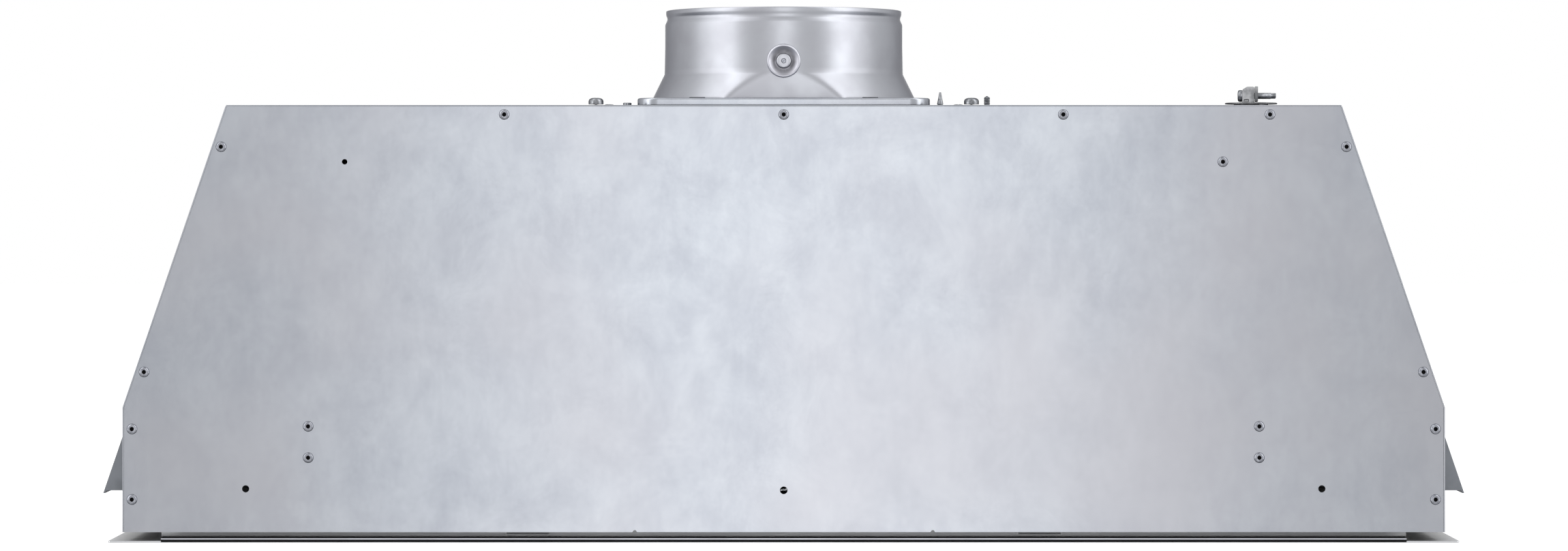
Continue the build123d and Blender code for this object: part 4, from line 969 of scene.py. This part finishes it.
def clampScrews():
    # crossed slots in the heads, thread between a plain tip and a plain neck
    radius, height = clamp["head"]
    outline = [(0, 0), (radius - 0.2, 0), (radius, 0.2), (radius, height * 0.6)]
    outline += [(radius * 0.93, height * 0.8), (radius * 0.78, height * 0.94)]
    outline += [(radius * 0.5, height), (0, height)]
    head = turned("clampHead", outline, 40)
    long, short = radius + 1, radius * 0.7
    cutAway(head, bar("slot", (-long, -0.55, height - 1.4), (long, 0.55, height + 1)))
    cutAway(head, bar("slot", (-0.5, -short, height - 1.2), (0.5, short, height + 1)))
    smooth(head, 40)
    core, tip, end = clamp["shaft"], clamp["tipShaft"], clamp["saddle"][0] - clamp["end"]
    start, neck = end + clamp["plainTip"], -clamp["plainNeck"]
    thread = threadOutline(core, start, neck, clamp["threadPitch"])[1:-1]
    outline = [(0, end), (tip - 0.3, end), (tip, end + 0.3), (tip, start)]
    outline += [(max(r, core * 0.9), z) for r, z in thread]
    stem = turned("clampStem", outline + [(core, neck), (core, 0.1), (0, 0.1)], 28)
    smooth(stem, 40)
    screws = []
    for number, turn in enumerate((24, 71)):
        y = clamp["y"] + (2 * number - 1) * clamp["screwPitch"] / 2
        spot = (clamp["saddle"][0], y, topFace + clamp["screwRise"])
        turnedHead = another(head, f"clampHead{number}", turn=(0, 0, turn))
        screws.append(place(turnedHead, at=spot, turn=(0, -90, 0)))
        screws.append(another(stem, f"clampStem{number}", at=spot, turn=(0, -90, 0)))
    bpy.data.objects.remove(head)
    bpy.data.objects.remove(stem)
    whole = turnOnRing(joined(screws, "cableClampScrews"))
    dress(whole, "zinc_steel", "housing", "cable_clamp_screws")


clampBody()
clampJaw()
clampScrews()
print("cable clamp made")


# push buttons, with a shallow dish for the fingertip

button = {
    "radius": 5.0, "dish": 0.45, "shoulder": 13.0, "collar": 5.9, "collarHeight": 1.6, "stem": 3.0,
    "names": ("light", "off", "low", "medium", "high"),
}


def pushButtons():
    r, dish, rim, stem = picked(button, "radius dish collar stem")
    for name in button["names"]:
        low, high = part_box(name + "_button")
        base, top = low.z / mm, high.z / mm
        shoulder = base + button["shoulder"]
        back = shoulder + button["collarHeight"]
        outline = [(0, base + dish), (r * 0.4, base + dish * 0.86)]
        outline += [(r * 0.62, base + dish * 0.45), (r * 0.76, base + 0.08)]
        outline += arc(r - 0.6, base + 0.6, 0.6, -90, 0, 5)
        outline += [(r, shoulder), (rim, shoulder), (rim, back)]
        outline += [(stem, back), (stem, top), (0, top)]
        spot = ((low.x + high.x) / 2 / mm, (low.y + high.y) / 2 / mm, 0)
        piece = lathe(name + "Button", outline, 64, 40, spot)
        dress(piece, "black_plastic", name + "_button", name + "_button")


pushButtons()
print("buttons made:", len(button["names"]))


# lamps: turned bodies with cooling rings, and ribbed frosted lenses

lamp = {
    "x": 329.0, "radius": 27.0, "trim": 32.0, "trimHeight": 2.0, "ceiling": 17.2, "height": 26.0,
    "wall": 1.5, "coolingRings": 5, "firstRing": 8.5, "ringPitch": 2.6,
    "lensRibs": 6, "firstRib": 5.5, "ribPitch": 3.1,
}


def lamps():
    ceiling, trim, outer = lamp["ceiling"], lamp["trim"], lamp["radius"]
    low, top = ceiling - lamp["trimHeight"], ceiling + lamp["height"]
    inner, roof = outer - lamp["wall"], top - lamp["wall"]
    body = [(inner, low + 2.4), (inner, low + 0.4), (inner + 0.5, low), (trim - 1.2, low + 0.1)]
    body += arc(trim - 0.9, low + 1.0, 0.9, -70, 20, 5)
    body += [(trim - 0.3, ceiling), (outer, ceiling)]
    for i in range(lamp["coolingRings"]):
        z = ceiling + lamp["firstRing"] + i * lamp["ringPitch"]
        body += [(outer, z), (outer - 0.7, z + 0.35), (outer - 0.7, z + 1.1), (outer, z + 1.45)]
    body += arc(outer - 4, top - 4, 4, 0, 90, 6)
    body += [(0, top), (0, roof), (inner - 4, roof), (inner, top - 4), (inner, low + 2.4)]
    lens = [(0, low + 0.15), (4, low + 0.17)]
    for i in range(lamp["lensRibs"]):
        r = lamp["firstRib"] + i * lamp["ribPitch"]
        lens += [(r, low + 0.2), (r + 0.5, low + 0.42), (r + 1.0, low + 0.2)]
    rim = inner - 0.05
    lens += [(inner - 0.6, low + 0.3), (rim, low + 0.6), (rim, low + 2.3), (0, low + 2.4)]
    for side, name in ((-1, "left"), (1, "right")):
        spot = (side * lamp["x"], 0, 0)
        housing = lathe(name + "LampHousing", body, 96, 35, spot)
        dress(housing, "lamp_metal", "housing", name + "_lamp_housing")
        # painted shade: the lamp bodies above the ceiling, inside the housing, are painted
        # near-black
        recoat(housing, lampBodyShade, lambda x, y, z: z > ceiling + 0.1)
        glass = lathe(name + "LampLens", lens, 96, 35, spot)
        dress(glass, "lens", "housing", name + "_lamp_lens")


lamps()
print("lamps made")


# grease filters: frames, baffles and catches with their edges rolled

filters = {
    "frame": 0.3, "baffle": 0.18, "catch": 0.35,  # rolled edges
    "sheet": 1.2, "slotFit": 0.52, "headroom": 0.2, "nose": 0.6, "wall": 0.9,  # the band
}


def catchShoulder(node):
    # the raised band on the catch that fills its slot in the tray's wall
    low, high = (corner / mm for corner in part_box(node))
    fit, front = filters["slotFit"], low.y + filters["nose"]
    base = (low.x - fit, front, high.z - filters["sheet"] - fit)
    peak = (high.x + fit, front + filters["wall"], high.z + filters["headroom"])
    return bar("shoulder", base, peak, 0.1, 1)


def greaseFilters():
    for side in ("right", "left"):
        for part, width, body in (
            ("frame", filters["frame"], side + "_filter"),
            ("baffles", filters["baffle"], side + "_filter"),
            ("catch", filters["catch"], side + "_filter_catch"),
        ):
            node = f"{side}_filter_{part}"
            piece = sheetCopy(node, f"{side}Filter{part.capitalize()}")
            softEdges(piece, width)
            if part == "catch":
                piece = joined([piece, catchShoulder(node)], piece.name)
            smoothFlats(piece)
            dress(piece, "stainless_steel", body, node)


greaseFilters()
print("filters finished")


# screws that hold the tray's straps, and the one behind the access hole

trayScrew = {
    "x": 288.7, "z": 19.2, "radius": 3.6, "height": 2.4, "front": (0, -121.4, 31.2), "worn": 0.5,
}


def trayScrews():
    head = screwHead("trayScrew", trayScrew["radius"], trayScrew["height"], 40)
    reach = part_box("tray_screws")[1].y / mm - trayScrew["radius"]
    x, z, (_, front, middle) = picked(trayScrew, "x z front")
    centre = another(head, "controlBoxScrew", turn=(0, 0, 12))
    corners = ((-x, -reach, z), (x, -reach, z), (-x, reach, z), (x, reach, z))
    turns = [(0, 0, 20 + 31 * number) for number in range(4)]
    heads = scattered(head, zip(corners, turns))
    heads.append(place(centre, at=(0, front, middle), turn=(90, 0, 0)))
    whole = joined(heads, "trayScrews")
    dress(whole, "zinc_steel", "housing", "tray_screws")

    def shadedScrewFace(x, y, z):
        return abs(x) < trayScrew["radius"] and y < 0 and abs(z - middle) > trayScrew["worn"]

    recoat(whole, paintedShadeFinish, shadedScrewFace)  # painted shade: the screw behind the access hole is painted near-black, all but a band across the middle


trayScrews()
print("tray screws made")


# rods, turned smooth: hinge pins, damper spindle and motor shaft

wingPin = {"x": 396.5, "z": 77.0, "radius": 1.5, "head": 2.5, "front": -89.0, "back": 87.8}
spindle = {"radius": 1.5, "reach": 77.3}
shaft = {"radius": 4.0, "left": -100.0, "right": 26.0}


def rod(name, radius, low, high, bevel, steps, at, turn):
    outline = [(0, low), (radius - bevel, low), (radius, low + bevel)]
    outline += [(radius, high - bevel), (radius - bevel, high), (0, high)]
    return lathe(name, outline, steps, 35, at, turn)


def wingPins():
    radius, head, front, back = picked(wingPin, "radius head front back")
    outline = [(0, front), (head - 0.6, front), (head, front + 0.4), (head, front + 1.0)]
    outline += [(head - 0.2, front + 1.2), (radius, front + 1.2)]
    outline += [(radius, back - 0.4), (radius - 0.3, back), (0, back)]
    spots = [(side * wingPin["x"], 0, wingPin["z"]) for side in (-1, 1)]
    pins = [lathe("pin", outline, 32, 35, spot, (-90, 0, 0)) for spot in spots]
    dress(joined(pins, "wingPins"), "zinc_steel", "housing", "wing_pins")


def damperSpindle():
    radius, reach = picked(spindle, "radius reach")
    spot = (0, 0, spindleHeight)
    piece = rod("damperSpindle", radius, -reach, reach, 0.3, 32, spot, (-90, 0, 0))
    dress(piece, "rivet_steel", "housing", "damper_spindle")


def motorShaft():
    radius, left, right = picked(shaft, "radius left right")
    piece = rod("motorShaft", radius, left, right, 0.5, 48, fanCentre, (0, 90, 0))
    dress(piece, "zinc_steel", "blower_rotor", "motor_shaft")


wingPins()
damperSpindle()
motorShaft()
print("rods made")


# blower: drawn motor can, bell mouth, hub, and the capacitor on its plate

blower = {"motor": (-102.0, -24.0, 42.0), "inlet": 60.0, "inletStart": 62.8}


def motorCan():
    left, right, radius = blower["motor"]
    outline = [(0, left - 5), (11.2, left - 5), (12, left - 4.2), (12, left - 1), (13, left)]
    outline += arc(radius - 5, left + 5, 5, -90, 0, 6)
    outline += [(radius, left + 30), (radius - 0.8, left + 30.4)]
    outline += [(radius - 0.8, left + 33), (radius, left + 33.4)]
    outline += arc(radius - 5, right - 5, 5, 0, 90, 6)
    outline += [(13, right), (12, right + 1), (12, right + 8.4), (11.4, right + 9)]
    outline += [(9, right + 9), (9, right + 2), (5, right + 2)]
    outline += [(5, left + 7), (9, left + 7), (9, left), (0, left)]
    can = lathe("motorCan", outline, 96, 40, fanCentre, (0, 90, 0))
    dress(can, "motor_paint", "housing", "motor_housing")


def inletRing():
    size, start = blower["inlet"], blower["inletStart"]
    outline = [(size - 3, start - 6), (size - 2, start - 6), (size - 1.85, start - 4)]
    outline += [(size - 1.4, start - 2.2), (size - 0.5, start - 0.7), (size + 0.8, start)]
    outline += [(size + 5, start), (size + 5, start + 1), (size + 0.4, start + 1)]
    outline += [(size - 1.2, start + 0.1), (size - 2.4, start - 1.8), (size - 2.9, start - 4)]
    outline.append(outline[0])
    ring = lathe("inletRing", outline, 128, 40, fanCentre, (0, 90, 0))
    dress(ring, "galvanised_steel", "housing", "inlet_ring")


def capacitorCan():
    low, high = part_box("capacitor")
    start, end, radius = low.x / mm, high.x / mm, (high.y - low.y) / 2 / mm
    outline = [(0, start)] + arc(radius - 2, start + 2, 2, -90, 0, 5)
    neck = radius - 0.5
    outline += [(radius, end - 4), (neck, end - 3.6), (neck, end - 2.8), (radius, end - 2.4)]
    outline += [(radius, end - 0.5), (neck, end), (radius - 1.2, end)]
    outline += [(radius - 1.4, end - 1), (0, end - 1)]
    spot = (0, (low.y + high.y) / 2 / mm, (low.z + high.z) / 2 / mm)
    can = lathe("capacitorCan", outline, 64, 40, spot, (0, 90, 0))
    dress(can, "capacitor_case", "housing", "capacitor")


motorCan()
inletRing()
capacitorCan()
print("blower pieces made")


# damper flaps: half discs with a stiffening rib, hung on the spindle by knuckles

flap = {
    "radius": 73.2, "low": 291.15, "sheet": 0.5, "inner": 2.75, "steps": 96, "web": 1.7,
    "knuckle": 2.35, "bore": 1.55, "knuckles": 5, "pitch": 24.0, "gap": 0.4,
}


def damperFlap(name, node, side, first):
    # made for the right side, with every other knuckle, and turned over for the left
    radius, inner, low, steps = picked(flap, "radius inner low steps")
    top, reach = low + flap["sheet"], math.sqrt(radius ** 2 - inner ** 2)
    start = math.asin(inner / radius)
    outline = [(inner, -reach)]
    for i in range(1, steps):
        turn = -math.pi / 2 + start + (math.pi - 2 * start) * i / steps
        outline.append((radius * math.cos(turn), radius * math.sin(turn)))
    outline.append((inner, reach))
    pieces = [drawn("flapBlade", outline, low, top, "z")]
    pieces.append(bar("rib", (14, -42, low - 0.05), (18, 42, top + 0.45), 0.24))
    tube, bore, pitch, count = picked(flap, "knuckle bore pitch knuckles")
    for i in range(first, count, 2):
        front = -count * pitch / 2 + i * pitch + flap["gap"]
        back = front + pitch - 2 * flap["gap"]
        outline = [(bore, front), (tube, front), (tube, back), (bore, back), (bore, front)]
        knuckle = turned("knuckle", outline, 32)
        pieces.append(place(knuckle, turn=(-90, 0, 0), at=(0, 0, spindleHeight)))
        pieces.append(bar("web", (flap["web"], front, low), (inner + 1, back, top), 0))
    whole = smooth(joined(pieces, name), 35)
    if side < 0:
        original = whole
        whole = mirrored(original, name + "Turned", "x")
        bpy.data.objects.remove(original)
        whole.name = name
    dress(whole, "collar_steel", node, node)


damperFlap("rightDamperFlap", "right_damper_flap", 1, 0)
damperFlap("leftDamperFlap", "left_damper_flap", -1, 1)
print("damper flaps made")


# soft studio light, a pale floor and a white surround

light = {
    "surround": 0.78,
    "lamps": {
        "frontStrip": ((0, -3.4, 0.5), (0.95, 3.8), 16.5, (0, 0, 0.5)),
        "leftBox": ((-3.15, -1.35, 2.6), (3.3, 8.0), 80, (0, 0, 1.6)),
        "rightBox": ((3.15, -1.35, 2.6), (3.3, 8.0), 80, (0, 0, 1.6)),
        "leftCore": ((-2.85, -1.7, 2.6), (1.4, 8.0), 48, (0, 0, 1.6)),
        "rightCore": ((2.85, -1.7, 2.6), (1.4, 8.0), 48, (0, 0, 1.6)),
        "rearStrip": ((0, 3.6, 1.2), (1.6, 3.4), 16, (0, 0, 0.2)),
        "topBox": ((0, 0.3, 3.0), (2.4, 1.6), 9, (0, 0, 0)),
    },
}


def aimAt(holder, target):
    offset = [t - p for t, p in zip(target, holder.location)]
    flat = math.hypot(offset[0], offset[1])
    tilt = math.atan2(flat, -offset[2])
    holder.rotation_euler = (tilt, 0, math.atan2(-offset[0], offset[1]))


def wired(tree, kind, *sources):
    # a shader node with its inputs linked in order
    node = tree.nodes.new("ShaderNode" + kind)
    for number, source in enumerate(sources):
        tree.links.new(source, node.inputs[number])
    return node


def seenDirectly(tree):
    # 1 for camera, glossy and transmission rays
    rays = wired(tree, "LightPath").outputs
    first = wired(tree, "Math", rays["Is Camera Ray"], rays["Is Glossy Ray"])
    second = wired(tree, "Math", first.outputs[0], rays["Is Transmission Ray"])
    first.operation = second.operation = "MAXIMUM"
    return second.outputs[0]


def setWorld():
    world = bpy.data.worlds.new("studio")
    bpy.context.scene.world = world
    world.use_nodes = True
    tree = world.node_tree
    background = tree.nodes["Background"]
    background.inputs["Color"].default_value = (1, 1, 1, 1)
    ranger = wired(tree, "MapRange", seenDirectly(tree))
    ranger.inputs["To Min"].default_value = light["surround"]
    ranger.inputs["To Max"].default_value = 1
    tree.links.new(ranger.outputs["Result"], background.inputs["Strength"])


def setLamps():
    for name, (at, size, power, target) in light["lamps"].items():
        data = bpy.data.lights.new(name, "AREA")
        data.shape = "RECTANGLE"
        data.size, data.size_y = size
        data.energy = power
        holder = bpy.data.objects.new(name, data)
        bpy.context.collection.objects.link(holder)
        holder.location = at
        aimAt(holder, target)


def layFloor():
    deselectAll()
    bpy.ops.mesh.primitive_plane_add(size=14, location=(0, 0, 0))
    floor = bpy.context.object
    floor.name = "floor"
    material = bpy.data.materials.new("paleFloor")
    material.use_nodes = True
    tree = material.node_tree
    tree.nodes.remove(tree.nodes["Principled BSDF"])
    pale, faint = wired(tree, "BsdfDiffuse"), wired(tree, "BsdfDiffuse")
    pale.inputs["Color"].default_value = (0.8, 0.8, 0.8, 1)
    faint.inputs["Color"].default_value = (0.3, 0.3, 0.3, 1)
    glow = wired(tree, "Emission")
    glow.inputs["Strength"].default_value = 0.85
    seen = wired(tree, "AddShader", faint.outputs[0], glow.outputs[0])
    above = wired(tree, "MixShader", seenDirectly(tree), pale.outputs[0], seen.outputs[0])
    below, clear = wired(tree, "NewGeometry").outputs["Backfacing"], wired(tree, "BsdfTransparent")
    whole = wired(tree, "MixShader", below, above.outputs[0], clear.outputs[0])  # clear from below
    tree.links.new(whole.outputs[0], tree.nodes["Material Output"].inputs["Surface"])
    floor.data.materials.append(material)
    floor.location.z = -0.4 * mm
    floor.visible_glossy = False  # metal shows the white surround instead
    floor.visible_shadow = False


setWorld()
setLamps()
layFloor()
bpy.context.scene.view_settings.view_transform = "Standard"
print("studio set")
